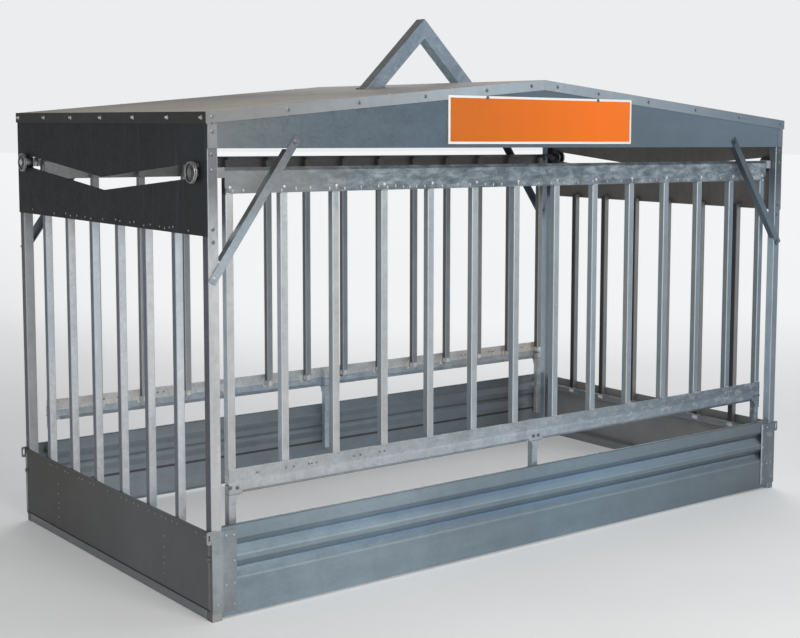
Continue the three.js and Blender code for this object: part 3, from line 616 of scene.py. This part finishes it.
# The first of these that is in a node's name says what the node is made of
NODE_MATERIALS = (
    ("lift", "lift_gear"), ("roof_panel", "roof_sheet"), ("fascia", "fascia"),
    ("left_end_skirt", "left_skirt"), ("right_end_skirt", "right_skirt"), ("skirt", "side_skirt"),
    ("left_track_panel", "left_panel"), ("left_upper_panel", "left_panel"),
    ("right_track_panel", "right_panel"), ("right_upper_panel", "right_panel"),
    ("front_gate_grille", "front_bars"), ("back_gate_grille", "back_bars"),
    ("front_gate_bottom_rail", "front_rail"), ("back_gate_bottom_rail", "back_rail"),
    ("base_rail", "beam_y"), ("mid_rail", "beam_y"), ("header", "beam_y"), ("end_bar", "end_bars"),
    ("corner_plate", "corner_plate"), ("brace", "brace"), ("roller", "roller"), ("post", "posts"),
)
WELD_DISTANCE = 0.00002
FACET_ANGLE, EDGE_ANGLE = math.radians(33), math.radians(35)


def round_shading(obj):
    """Smooth shading across the small corner facets, with the flat faces kept flat."""
    obj.data.polygons.foreach_set("use_smooth", [True] * len(obj.data.polygons))
    obj.modifiers.new("weld", "WELD").merge_threshold = WELD_DISTANCE
    obj.modifiers.new("split", "EDGE_SPLIT").split_angle = FACET_ANGLE
    obj.modifiers.new("flat_faces", "WEIGHTED_NORMAL").keep_sharp = True


for name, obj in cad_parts.items():
    made_of = next(material for part, material in NODE_MATERIALS if part in name)
    obj.data.materials.clear()
    obj.data.materials.append(MATERIALS[made_of])
    round_shading(obj)


# Mesh helpers. A solid is a pair of lists, its verts and its faces
def linked(name, data):
    """A new object in the scene."""
    obj = bpy.data.objects.new(name, data)
    bpy.context.scene.collection.objects.link(obj)
    return obj


def piece(name, solid, material, body="frame", smooth_angle=40):
    verts, faces = solid
    mesh = bpy.data.meshes.new(name)
    mesh.from_pydata([tuple(vert) for vert in verts], [], faces)
    mesh.polygons.foreach_set("use_smooth", [True] * len(mesh.polygons))
    mesh.set_sharp_from_angle(angle=math.radians(smooth_angle))
    mesh.materials.append(MATERIALS[material])
    obj = linked(name, mesh)
    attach(obj, body)
    return obj


def circle(steps):
    """The cosine and sine of each step round a circle."""
    turns = [math.tau * i / steps for i in range(steps)]
    return [(math.cos(turn), math.sin(turn)) for turn in turns]


def revolved(profile, steps):
    """A closed solid of revolution about Z from (radius, height) pairs that start and end on the axis."""
    rings = profile[1:-1]
    verts = [(0, 0, profile[0][1])]
    for radius, height in rings:
        verts += [(radius * cosine, radius * sine, height) for cosine, sine in circle(steps)]
    verts.append((0, 0, profile[-1][1]))
    last = len(verts) - 1
    faces = [(0, 1 + (i + 1) % steps, 1 + i) for i in range(steps)]
    for ring in range(len(rings) - 1):
        low = 1 + ring * steps
        high = low + steps
        for i in range(steps):
            j = (i + 1) % steps
            faces.append((low + i, low + j, high + j, high + i))
    top = 1 + (len(rings) - 1) * steps
    faces += [(top + i, top + (i + 1) % steps, last) for i in range(steps)]
    return verts, faces


def merged(*solids):
    verts, faces = [], []
    for more_verts, more_faces in solids:
        base = len(verts)
        verts += more_verts
        faces += [tuple(base + i for i in face) for face in more_faces]
    return verts, faces


def box_solid(xs, ys, zs):
    """A box between two places on each axis, given in either order."""
    verts = [(x, y, z) for x in sorted(xs) for y in sorted(ys) for z in sorted(zs)]
    faces = [(0, 1, 3, 2), (4, 6, 7, 5), (0, 4, 5, 1), (2, 3, 7, 6), (0, 2, 6, 4), (1, 5, 7, 3)]
    return verts, faces


def soften(obj, width):
    modifier = obj.modifiers.new("soft_edges", "BEVEL")
    modifier.width = width
    modifier.segments = 2
    modifier.limit_method = "ANGLE"
    modifier.angle_limit = EDGE_ANGLE


def bead(points, radius, seed, closed=False, ripple=0.22, sides=7, step=0.0035):
    """A weld bead: a lumpy round strip along a line of points."""
    chance = random.Random(seed)
    path = [Vector(p) for p in points] + ([Vector(points[0])] if closed else [])
    line = []
    for a, b in zip(path, path[1:]):
        count = max(1, round((b - a).length / step))
        line += [a.lerp(b, i / count) for i in range(count)]
    if not closed:
        line.append(path[-1])
    verts, faces = [], []
    for i, place in enumerate(line):
        ahead = line[(i + 1) % len(line)] if closed else line[min(i + 1, len(line) - 1)]
        behind = line[i - 1] if closed or i else line[0]
        along = (ahead - behind).normalized()
        side = along.orthogonal().normalized()
        up = along.cross(side)
        end = 1.0 if closed or 0 < i < len(line) - 1 else 0.35
        size = radius * end * (1 + ripple * math.sin(i * 1.9 + seed) + chance.uniform(-0.1, 0.1))
        for k in range(sides):
            turn = math.tau * k / sides
            verts.append(place + size * (math.cos(turn) * side + math.sin(turn) * up))
    rings = len(line)
    for i in range(rings if closed else rings - 1):
        j = (i + 1) % rings
        for k in range(sides):
            m = (k + 1) % sides
            faces.append((i * sides + k, j * sides + k, j * sides + m, i * sides + m))
    if not closed:
        faces.append(tuple(range(sides)))
        faces.append(tuple(reversed(range((rings - 1) * sides, rings * sides))))
    return verts, faces


# Heads of fasteners, standing up along Z and sunk a little into what they sit on
SUNK = 0.0004


def disc(radius, rim, top_radius, top, steps):
    """A washer's disc, with its upper edge taken off."""
    return revolved([(0, -SUNK), (radius, -SUNK), (radius, rim), (top_radius, top), (0, top)], steps)


def hexagon(radius, foot, shoulder, top_radius, top):
    """A screw's six sides, with the upper edges taken off."""
    return revolved([(0, foot), (radius, foot), (radius, shoulder), (top_radius, top), (0, top)], 6)


def rivet_head(radius, height):
    rim = [(0, -SUNK), (radius, -SUNK), (radius, SUNK)]
    dome = [(0.85 * radius, 0.7 * height), (0.45 * radius, height), (0, 1.05 * height)]
    return revolved(rim + dome, 10)


def hex_screw(height, washer=0.0075, radius=0.0045):
    base = disc(washer, 0.0008, 0.75 * washer, 0.0014, 14)
    return merged(base, hexagon(radius, 0.001, 0.82 * height, 0.84 * radius, height))


def bolt_head(radius, height):
    washer = disc(1.3 * radius, 0.0016, 1.2 * radius, 0.0021, 20)
    return merged(washer, hexagon(radius, 0.0018, 0.86 * height, 0.86 * radius, height))


def drip_head():
    """A hanging drop of zinc, flat at the back."""
    profile = [(0, -SUNK), (0.0032, -SUNK), (0.0034, 0.0006), (0.0022, 0.0017), (0, 0.0021)]
    stretch = 1.9
    verts, faces = revolved(profile, 8)
    return [(x, y * stretch, z) for x, y, z in verts], faces


RIVET, PLUG_WELD, DRIP = rivet_head(0.0042, 0.0019), rivet_head(0.0062, 0.0022), drip_head()
SCREW, TALL_SCREW = hex_screw(0.0048), hex_screw(0.0085)
BOLT, FLAT_BOLT = bolt_head(0.0095, 0.0068), bolt_head(0.0068, 0.0046)


def fasteners(name, template, spots, material, body="frame", upright=False):
    """One mesh of many heads. A spot is (place, outward normal)."""
    chance = random.Random(name)
    verts, faces = template
    heads = []
    for place, normal in spots:
        turn = Vector(normal).to_track_quat("Z", "Y").to_matrix().to_4x4()
        spin = Matrix.Identity(4) if upright else Matrix.Rotation(chance.uniform(0, math.tau), 4, "Z")
        matrix = Matrix.Translation(place) @ turn @ spin
        heads.append(([matrix @ Vector(vert) for vert in verts], faces))
    piece(name, merged(*heads), material, body)


def both_ways(places):
    """Each place and its mirror."""
    return [sign * place for place in places for sign in (1, -1)]


# Where the heads sit, read from the photograph, in metres
LIP_SCREW_X = (0.07, 0.299, 0.595, 0.892, 1.188, 1.482)
LIP_SCREW_DROP = 0.02
ROOF_RIVET_X = (0.15, 0.45, 0.74, 1.04, 1.33)
ROOF_RIVET_Y = 0.805
EAVE_SCREW_Y = (0.80, 0.531, 0.266, -0.008, -0.285, -0.553, -0.80)
EAVE_SCREW_Z = 1.735
POST_SCREW_INSET = 0.019
POST_SCREW_Z = (1.741, 1.717, 1.687, 1.611, 1.557, 1.360, 1.316)
PANEL_RIVET_Y = (
    0.68, 0.456, 0.339, 0.294, 0.233, 0.155, 0.102, -0.005, -0.118, -0.155,
    -0.239, -0.272, -0.352, -0.404, -0.477, -0.516, -0.553, -0.579, -0.693,
)
PANEL_RIVET_Z, PANEL_RIVET_SWAY, PANEL_RIVET_WAVES = 1.352, 0.004, 40
SKIRT_RIVET_Y = (
    0.561, 0.540, 0.483, 0.404, 0.374, 0.263, 0.233, 0.161, 0.127, -0.004, -0.122,
    -0.166, -0.231, -0.270, -0.355, -0.407, -0.461, -0.493, -0.541, -0.580, -0.722, -0.784,
)
SKIRT_RIVET_Z = 0.297
SKIRT_COLUMN_Y = 0.474
SKIRT_COLUMN_Z = (0.228, 0.188, 0.150, 0.126, 0.090)
CORNER_BOLT_Y, CORNER_BOLT_Z = 0.811, 0.222
RAIL_RIVET_X = (-1.303, -1.187, -1.155, -1.091, -1.078, -1.059, -0.896, -0.867, -0.781, -0.758)
RAIL_RIVET_Z = 0.495
RAIL_SCREWS = ((-1.411, 0.455), (-1.383, 0.452))
LEG_SCREW_X, LEG_SCREW_Z = (-0.011, 0.015), 0.450
SKIRT_NUT_INSET, SKIRT_NUT_PLANE = 0.085, 0.822
SKIRT_NUT_Z = (0.300, 0.210, 0.126, 0.053)
SIGN_SCREW_X, SIGN_SCREW_Z = (-0.296, 0.295), 1.824

# Places given as (distance in from the object's end, height)
PLATE_RIVETS = (
    (0.055, 0.300), (0.085, 0.298), (0.085, 0.206), (0.085, 0.126),
    (0.053, 0.125), (0.084, 0.053), (0.019, 0.060),
)
BRACE_BOLTS = ((0.019, 1.192), (0.341, 1.655))

for side in SIDES:
    out = (0, side, 0)
    lip_y = side * (HALF_WIDTH + COVER_OUT)
    spots = [((x, lip_y, roof_z(x) - LIP_SCREW_DROP), out) for x in both_ways(LIP_SCREW_X)]
    fasteners(f"{SIDE_NAME[side]}_lip_screws", SCREW, spots, "bolt")
    spots = []
    for end in (RIGHT, LEFT):
        slope = Vector((end * ROOF_RISE, 0, HALF_LENGTH)).normalized()
        spots += [((end * x, side * ROOF_RIVET_Y, roof_z(x)), slope) for x in ROOF_RIVET_X]
    fasteners(f"{SIDE_NAME[side]}_roof_rivets", RIVET, spots, "rivet")

for end in ENDS:
    out = (end, 0, 0)
    sheet_x = end * (HALF_LENGTH + SHEET_OUT)
    spots = [((end * (HALF_LENGTH + COVER_OUT), y, EAVE_SCREW_Z), out) for y in EAVE_SCREW_Y]
    # The eave screws take the lighter weld steel as a painted highlight
    fasteners(f"{END_NAME[end]}_eave_screws", TALL_SCREW, spots, "weld")
    heights = [PANEL_RIVET_Z + PANEL_RIVET_SWAY * math.sin(PANEL_RIVET_WAVES * y) for y in PANEL_RIVET_Y]
    spots = [((sheet_x, y, z), out) for y, z in zip(PANEL_RIVET_Y, heights)]
    fasteners(f"{END_NAME[end]}_panel_rivets", RIVET, spots, "dim_rivet")
    spots = [((sheet_x, y, SKIRT_RIVET_Z), out) for y in SKIRT_RIVET_Y]
    spots += [((sheet_x, y, z), out) for y in both_ways([SKIRT_COLUMN_Y]) for z in SKIRT_COLUMN_Z]
    fasteners(f"{END_NAME[end]}_skirt_rivets", RIVET, spots, "dim_rivet")

for side, end, corner in CORNERS:
    out = (0, side, 0)
    sheet_y = side * (HALF_WIDTH + SHEET_OUT)
    cover_y = side * (HALF_WIDTH + COVER_OUT)
    x = end * (HALF_LENGTH - POST_SCREW_INSET)
    spots = [((x, sheet_y if z > FASCIA_FOOT else side * HALF_WIDTH, z), out) for z in POST_SCREW_Z]
    fasteners(f"post_{corner}_screws", SCREW, spots, "bolt")
    spots = [((end * (HALF_LENGTH - inset), sheet_y, z), out) for inset, z in PLATE_RIVETS]
    fasteners(f"plate_{corner}_rivets", RIVET, spots, "rivet")
    spots = [((end * (HALF_LENGTH - inset), cover_y, z), out) for inset, z in BRACE_BOLTS]
    fasteners(f"brace_{corner}_bolts", FLAT_BOLT, spots, "brace")
    spots = [((end * (HALF_LENGTH + SHEET_OUT), side * CORNER_BOLT_Y, CORNER_BOLT_Z), (end, 0, 0))]
    fasteners(f"corner_{corner}_bolt", BOLT, spots, "bolt")

for side, body in GATES:
    out = (0, side, 0)
    spots = [((x, side * GATE_PLANE, RAIL_RIVET_Z), out) for x in both_ways(RAIL_RIVET_X)]
    fasteners(f"{body}_rail_rivets", RIVET, spots, "bolt", body)
    spots = [((x, side * GATE_PLANE, z), out) for inner_x, z in RAIL_SCREWS for x in both_ways([inner_x])]
    spots += [((x, side * GATE_PLANE, LEG_SCREW_Z), out) for x in LEG_SCREW_X]
    fasteners(f"{body}_rail_bolts", SCREW, spots, "bolt", body)
    inward = (0, -side, 0)
    spots = [((x, side * BEHIND_PLANE, RAIL_RIVET_Z), inward) for x in both_ways(RAIL_RIVET_X)]
    fasteners(f"{body}_rivet_tails", RIVET, spots, "bolt", body)
    for end in ENDS:
        x = end * (HALF_LENGTH - SKIRT_NUT_INSET)
        spots = [((x, side * SKIRT_NUT_PLANE, z), inward) for z in SKIRT_NUT_Z]
        fasteners(f"{SIDE_NAME[side]}_{END_NAME[end]}_skirt_nuts", BOLT, spots, "bolt")


# Welds, and the zinc paint over them
def paint_patch(centre, normal, half, seed, points=22):
    """A thin brushed patch of zinc paint with a ragged edge."""
    sunk, thick, crown, edge_share = 0.0002, 0.00035, 0.0006, 0.94
    centre, normal = Vector(centre), Vector(normal)
    chance = random.Random(seed)
    turn = normal.to_track_quat("Z", "Y").to_matrix()
    across, upward = (turn @ Vector(axis) for axis in ((1, 0, 0), (0, 1, 0)))
    if abs(across.z) > abs(upward.z):
        across, upward = upward, across
    rim_low, rim_high = [], []
    for cosine, sine in circle(points):
        size = chance.uniform(0.82, 1.12) / max(abs(cosine), abs(sine)) ** 0.6
        offset = across * half[0] * size * cosine + upward * half[1] * size * sine
        rim_low.append(centre + offset - normal * sunk)
        rim_high.append(centre + offset * edge_share + normal * thick)
    verts = rim_low + rim_high + [centre + normal * crown, centre - normal * sunk]
    top, bottom = 2 * points, 2 * points + 1
    flip = across.cross(upward).dot(normal) < 0
    faces = []
    for i in range(points):
        j = (i + 1) % points
        for face in ((i, j, points + j, points + i), (points + i, points + j, top), (j, i, bottom)):
            faces.append(tuple(reversed(face)) if flip else face)
    return verts, faces


SEAM_RADIUS, FOOT_SEAM_RADIUS = 0.0026, 0.0032
SEAM_SHORT = 0.003
EDGE_SEAM = 0.03
DAB_RISE, DAB_SWAY = 0.021, 0.006
RAIL_PAINT_RISE, BAR_PAINT_RISE = 0.012, (0.012, 0.020)
RAIL_PAINT, END_RAIL_PAINT, BAR_PAINT = (0.034, 0.022), (0.0125, 0.018), (0.0115, 0.013)
FOOT_SEAM_SHORT, FOOT_SEAM_RISE = 0.006, 0.0005
FOOT_PAINT_DROP, FOOT_PAINT = 0.012, (0.020, 0.009)


def gate_bar_seams(x, behind, seed):
    """Weld beads on one gate bar: at both rails, under its foot and up its two edges."""
    left, right = x - BAR / 2, x + BAR / 2
    seams = []
    for z in (TOP_RAIL_FOOT, BOTTOM_RAIL_TOP):
        line = [(left + SEAM_SHORT, behind, z), (right - SEAM_SHORT, behind, z)]
        seams.append(bead(line, SEAM_RADIUS, seed))
    seams.append(bead([(left, behind, BAR_FOOT), (right, behind, BAR_FOOT)], FOOT_SEAM_RADIUS, seed))
    for edge in (left, right):
        line = [(edge, behind, BAR_FOOT), (edge, behind, BAR_FOOT + EDGE_SEAM)]
        seams.append(bead(line, SEAM_RADIUS, seed))
    return seams


def gate_bar_paint(x, side, chance, outermost, seed):
    """Zinc paint round one gate bar's foot: on the rail, on the bar's inner face and on its two flanks."""
    inward = (0, -side, 0)
    behind = side * BEHIND_PLANE
    height = BAR_FOOT + chance.uniform(*BAR_PAINT_RISE)
    shift = chance.uniform(-DAB_SWAY, DAB_SWAY)
    on_rail = (x if outermost else x + shift, behind, BAR_FOOT + RAIL_PAINT_RISE)
    patches = [
        paint_patch(on_rail, inward, END_RAIL_PAINT if outermost else RAIL_PAINT, seed),
        paint_patch((x, behind - side * BAR, height), inward, BAR_PAINT, seed),
    ]
    for across in (-1, 1):
        flank = (x + across * BAR / 2, behind - side * BAR / 2, height)
        patches.append(paint_patch(flank, (across, 0, 0), BAR_PAINT, seed))
    return patches


for side, body in GATES:
    chance = random.Random(SEED + side)
    dabs = []
    for x in GATE_BAR_X:
        place = (x + chance.uniform(-DAB_SWAY, DAB_SWAY), side * GATE_PLANE, TOP_RAIL_FOOT + DAB_RISE)
        dabs.append((place, (0, side, 0)))
    fasteners(f"{body}_plug_welds", PLUG_WELD, dabs, "weld", body)
    seams, patches = [], []
    for i, x in enumerate(GATE_BAR_X):
        seams += gate_bar_seams(x, side * BEHIND_PLANE, SEED + i)
        patches += gate_bar_paint(x, side, chance, i in (0, GATE_BARS - 1), SEED + i)
    piece(f"{body}_bar_welds", merged(*seams), "weld", body)
    piece(f"{body}_weld_paint", merged(*patches), "zinc_paint", body)

for end in ENDS:
    outer, inner = end * (HALF_LENGTH - FOOT_SEAM_SHORT), end * (HALF_LENGTH - BAR - SEAT)
    half = BAR / 2 + SEAT
    z = MID_RAIL_TOP + FOOT_SEAM_RISE
    seams, patches = [], []
    for i, y in enumerate(END_BAR_Y):
        corners = [(outer, y - half, z), (inner, y - half, z), (inner, y + half, z), (outer, y + half, z)]
        seams.append(bead(corners, FOOT_SEAM_RADIUS, SEED + i))
        centre = (end * (HALF_LENGTH - BAR), y, MID_RAIL_TOP - FOOT_PAINT_DROP)
        patches.append(paint_patch(centre, (-end, 0, 0), FOOT_PAINT, SEED * 7 + i))
    piece(f"{END_NAME[end]}_bar_foot_welds", merged(*seams), "weld")
    piece(f"{END_NAME[end]}_weld_paint", merged(*patches), "zinc_paint")

# Washers and turned rims on the rollers, in metres from the axle and out from the object's end
WASHER_BORE, WASHER_EDGE = 0.0125, 0.0165
WASHER_BACK, WASHER_FACE = 0.0218, 0.0232
RIM_RADIUS, RIM_OUT, RIM_THICKNESS = 0.0345, 0.0215, 0.0021
ROUND_STEPS = 24


def ring_round(place, end, radius, out):
    """Points round an axle."""
    steps = circle(ROUND_STEPS)
    return [place + Vector((end * out, radius * cosine, radius * sine)) for cosine, sine in steps]


def washer_solid(place, end):
    """A flat ring: four rings of points, from its back by its edge and its face to its bore."""
    section = ((WASHER_BORE, WASHER_BACK), (WASHER_EDGE, WASHER_BACK))
    section += ((WASHER_EDGE, WASHER_FACE), (WASHER_BORE, WASHER_FACE))
    verts, faces = [], []
    for ring, (radius, out) in enumerate(section):
        verts += ring_round(place, end, radius, out)
        this, following = ring * ROUND_STEPS, (ring + 1) % len(section) * ROUND_STEPS
        for i in range(ROUND_STEPS):
            j = (i + 1) % ROUND_STEPS
            faces.append((this + i, this + j, following + j, following + i))
    return verts, faces


for side, end, corner in CORNERS:
    place = Vector((end * HALF_LENGTH, side * AXLE_Y, AXLE_Z))
    piece(f"axle_{corner}_washer", washer_solid(place, end), "bolt", f"{SIDE_NAME[side]}_gate")
    rim = ring_round(place, end, RIM_RADIUS, RIM_OUT)
    rim = bead(rim, RIM_THICKNESS, 0, closed=True, ripple=0.0, sides=8, step=0.006)
    piece(f"roller_{corner}_rim", rim, "rivet", f"roller_{corner}")

# Drips of zinc on the top rails
DRIP_PITCH = 0.058
DRIP_SPAN = 1.39
DRIP_RISE, DRIP_SWAY = 0.008, 0.006

for side, body in GATES:
    chance = random.Random(SEED * 3 + side)
    spots = []
    x = -DRIP_SPAN
    while x < DRIP_SPAN:
        height = TOP_RAIL_FOOT + DRIP_RISE + chance.uniform(0, DRIP_SWAY)
        spots.append(((x, side * GATE_PLANE, height), (0, side, 0)))
        x += DRIP_PITCH * chance.uniform(0.5, 1.5)
    fasteners(f"{body}_drips", DRIP, spots, "drip", body, upright=True)

# Slot rims on the corner plates' ears, corner strips over the fascia, and roof seals
EAR_SLOT_X, EAR_SLOT_Z = 0.0105, 0.300
EAR_SLOT_HALF = (0.0050, 0.0130)
TRIM_RADIUS = 0.0013
STRIP_WIDTH = 0.0365
STRIP_LAP, STRIP_THICKNESS, STRIP_EDGE = 0.0002, 0.0009, 0.0003
SEAL_X, SEAL_HALF, SEAL_RISE, SEAL_RADIUS = (0.2185, 0.3200), 0.0318, 0.0012, 0.0042


def slot_outline(centre, plane, half, steps=6):
    """Points round an upright slot with round ends."""
    radius, straight = half[0], half[1] - half[0]
    points = []
    for top in (1, -1):
        for i in range(steps + 1):
            turn = math.pi * (i / steps + (0 if top == 1 else 1))
            height = centre[1] + top * straight + radius * math.sin(turn)
            points.append((centre[0] + radius * math.cos(turn), plane, height))
    return points


for side, end, corner in CORNERS:
    sheet_y = HALF_WIDTH + SHEET_OUT
    slot = slot_outline((end * (HALF_LENGTH + EAR_SLOT_X), EAR_SLOT_Z), side * sheet_y, EAR_SLOT_HALF)
    rim = bead(slot, TRIM_RADIUS, 2, closed=True, ripple=0.05, sides=6, step=0.003)
    piece(f"ear_{corner}_rim", rim, "rivet")
    xs = (end * (HALF_LENGTH - STRIP_WIDTH), end * HALF_LENGTH)
    ys = (side * (sheet_y - STRIP_LAP), side * (sheet_y + STRIP_THICKNESS))
    strip = box_solid(xs, ys, (FASCIA_FOOT, EAVE - ROOF_LIP))
    soften(piece(f"corner_strip_{corner}", strip, "corner_strip"), STRIP_EDGE)

for end in ENDS:
    inner, outer = SEAL_X
    spots = ((inner, -SEAL_HALF), (outer, -SEAL_HALF), (outer, SEAL_HALF), (inner, SEAL_HALF))
    corners = [(end * x, y, roof_z(x) + SEAL_RISE) for x, y in spots]
    seal = bead(corners, SEAL_RADIUS, 5, closed=True, ripple=0.14, sides=8, step=0.005)
    piece(f"{END_NAME[end]}_roof_seal", seal, "sealant", smooth_angle=60)

# The sign plate and its screws
SIGN_FACE = HALF_WIDTH + COVER_OUT + 0.0012
SIGN_EDGE = 0.0008

sign = box_solid(SIGN_X, (-SIGN_FACE, -(HALF_WIDTH + SHEET_OUT)), SIGN_Z)
soften(piece("sign_plate", sign, "sign_print"), SIGN_EDGE)
sign_spots = [((x, -SIGN_FACE, SIGN_SCREW_Z), (0, -1, 0)) for x in SIGN_SCREW_X]
fasteners("sign_screws", SCREW, sign_spots, "bolt")

# Upright strips and a rib on the end skirts, and a dark strip along their foot that is a painted shadow line
SIDE_STRIP_INSETS = (0.006, 0.020)
SIDE_STRIP_TOP = 0.300
RIB_INSET, RIB_Z = 0.014, (0.040, 0.297)
SHADOW_STRIP_INSET, SHADOW_STRIP_Z = 0.007, (0.0372, 0.0425)

for end in ENDS:
    sheet_x = HALF_LENGTH + SHEET_OUT
    xs = (end * (sheet_x - STRIP_LAP), end * (sheet_x + STRIP_THICKNESS))
    strips = []
    for side in SIDES:
        ys = [side * (HALF_WIDTH - inset) for inset in SIDE_STRIP_INSETS]
        strips.append(box_solid(xs, ys, (END_SKIRT_FOOT, SIDE_STRIP_TOP)))
    strips = piece(f"{END_NAME[end]}_skirt_side_strips", merged(*strips), "corner_strip")
    soften(strips, STRIP_EDGE)
    rib = [(end * (sheet_x + STRIP_THICKNESS), HALF_WIDTH - RIB_INSET, z) for z in RIB_Z]
    rib = bead(rib, TRIM_RADIUS, 3, ripple=0.05, sides=8, step=0.02)
    piece(f"{END_NAME[end]}_skirt_rib", rib, "weld")
    # A dark strip along the skirt's foot: a painted shadow line
    half = HALF_WIDTH - SHADOW_STRIP_INSET
    shadow_strip = box_solid(xs, (-half, half), SHADOW_STRIP_Z)
    soften(piece(f"{END_NAME[end]}_skirt_foot_shadow_strip", shadow_strip, "left_panel"), STRIP_EDGE)

# The studio: floor, light from all round, and three lamps
SKY_TOWARDS = Vector((0.80, 0.60, 0.0)).normalized()
SKY_EDGE = (0.25, 0.85)
SKY_DARK, SKY_BRIGHT = 0.24, 0.86
SKY_COLOUR = (0.97, 0.985, 1.0)
FLOOR_HALF = 80
FLOOR_FADE = (2.6, 8.0)
FLOOR_GLOW_LOW, FLOOR_GLOW_NEAR = 0.72, 0.17

# Each lamp's name, place, target, size, watts and colour
LAMPS = (
    ("key", (-1.3, -4.4, 3.1), (-0.9, 0, 0.9), 2.4, 118, (1.0, 0.985, 0.96)),
    ("cool_side", (5.5, -4.0, 3.2), (0.8, 0, 1.0), 3.0, 75, (0.80, 0.90, 1.0)),
    ("rear", (4.5, 5.5, 4.0), (0.5, 1.0, 0.5), 4.0, 140, WHITE),
)


def sky_strength(graph, direction):
    """How bright the studio is in a direction: bright behind the object, dim elsewhere."""
    facing = graph.add("ShaderNodeVectorMath", {0: direction, 1: SKY_TOWARDS}, operation="DOT_PRODUCT")
    return graph.remap(facing.outputs["Value"], *SKY_EDGE, SKY_DARK, SKY_BRIGHT, smooth=True)


def stage_floor():
    """A pale floor that fades, far out, to the studio's own brightness, so no horizon line shows."""
    finish = Finish("floor_finish").dulled(0.2)
    colour = finish.ramp(finish.noise(0.8, 3.0), [(0.3, grey(0.74)), (0.7, grey(0.78))])
    distance = finish.add("ShaderNodeVectorMath", {0: finish.place}, operation="LENGTH")
    way = finish.add("ShaderNodeVectorMath", {0: finish.place}, operation="NORMALIZE")
    far = finish.remap(distance.outputs["Value"], *FLOOR_FADE, smooth=True)
    glow = finish.math("MAXIMUM", sky_strength(finish, way.outputs["Vector"]), FLOOR_GLOW_LOW)
    finish.surface(finish.mix(far, colour, BLACK), 0.7, 0.0)
    finish.feed(finish.shader.inputs["Emission Color"], SKY_COLOUR)
    glow = finish.remap(far, 0.0, 1.0, FLOOR_GLOW_NEAR, glow)
    finish.feed(finish.shader.inputs["Emission Strength"], glow)
    mesh = bpy.data.meshes.new("floor")
    corners = [(FLOOR_HALF * x, FLOOR_HALF * y, 0) for x, y in ((-1, -1), (1, -1), (1, 1), (-1, 1))]
    mesh.from_pydata(corners, [], [(0, 1, 2, 3)])
    mesh.materials.append(MATERIALS["floor_finish"])
    floor = linked("floor", mesh)


def stage_world():
    """The studio's light, which the camera itself sees as one bright backdrop."""
    world = bpy.data.worlds.new("studio")
    bpy.context.scene.world = world
    graph = Graph(world)
    sky = sky_strength(graph, graph.add("ShaderNodeTexCoord").outputs["Generated"])
    seen = graph.add("ShaderNodeLightPath").outputs["Is Camera Ray"]
    feeds = {"Color": SKY_COLOUR, "Strength": graph.remap(seen, 0.0, 1.0, sky, SKY_BRIGHT)}
    background = graph.add("ShaderNodeBackground", feeds)
    graph.add("ShaderNodeOutputWorld", {"Surface": background.outputs["Background"]})


def area_light(name, place, target, size, watts, colour):
    data = bpy.data.lights.new(name, "AREA")
    data.size = size
    data.energy = watts
    data.color = colour
    lamp = linked(name, data)
    lamp.location = place
    lamp.rotation_euler = (Vector(target) - Vector(place)).to_track_quat("-Z", "Y").to_euler()
    lamp.visible_camera = False


stage_floor()
stage_world()
for lamp in LAMPS:
    area_light(*lamp)

# The photograph's camera, fitted to the corners of the box
CAMERA_PLACE = Vector((-3.777, -5.075, 1.705))
CAMERA_YAW = 0.87138
CAMERA_PITCH = -0.0974
CAMERA_ROLL = 0.00846
IMAGE_WIDTH, IMAGE_HEIGHT = 800, 638
FOCAL_PIXELS = 1409.507
CENTRE_X, CENTRE_Y = 503.732, 266.647
SENSOR = 36.0

level = math.cos(CAMERA_PITCH)
ahead = Vector((level * math.cos(CAMERA_YAW), level * math.sin(CAMERA_YAW), math.sin(CAMERA_PITCH)))
right = ahead.cross(Vector((0, 0, 1))).normalized()
up = right.cross(ahead)
cosine, sine = math.cos(CAMERA_ROLL), math.sin(CAMERA_ROLL)
right, up = cosine * right + sine * up, -sine * right + cosine * up
camera_data = bpy.data.cameras.new("camera")
camera_data.sensor_width = SENSOR
camera_data.lens = SENSOR * FOCAL_PIXELS / IMAGE_WIDTH
camera_data.shift_x = (IMAGE_WIDTH / 2 - CENTRE_X) / IMAGE_WIDTH
camera_data.shift_y = (CENTRE_Y - IMAGE_HEIGHT / 2) / IMAGE_WIDTH
camera_data.clip_end = 200
camera = linked("camera", camera_data)
camera.matrix_world = Matrix.Translation(CAMERA_PLACE) @ Matrix((right, up, -ahead)).transposed().to_4x4()
bpy.context.scene.camera = camera
bpy.context.scene.view_settings.view_transform = "Standard"
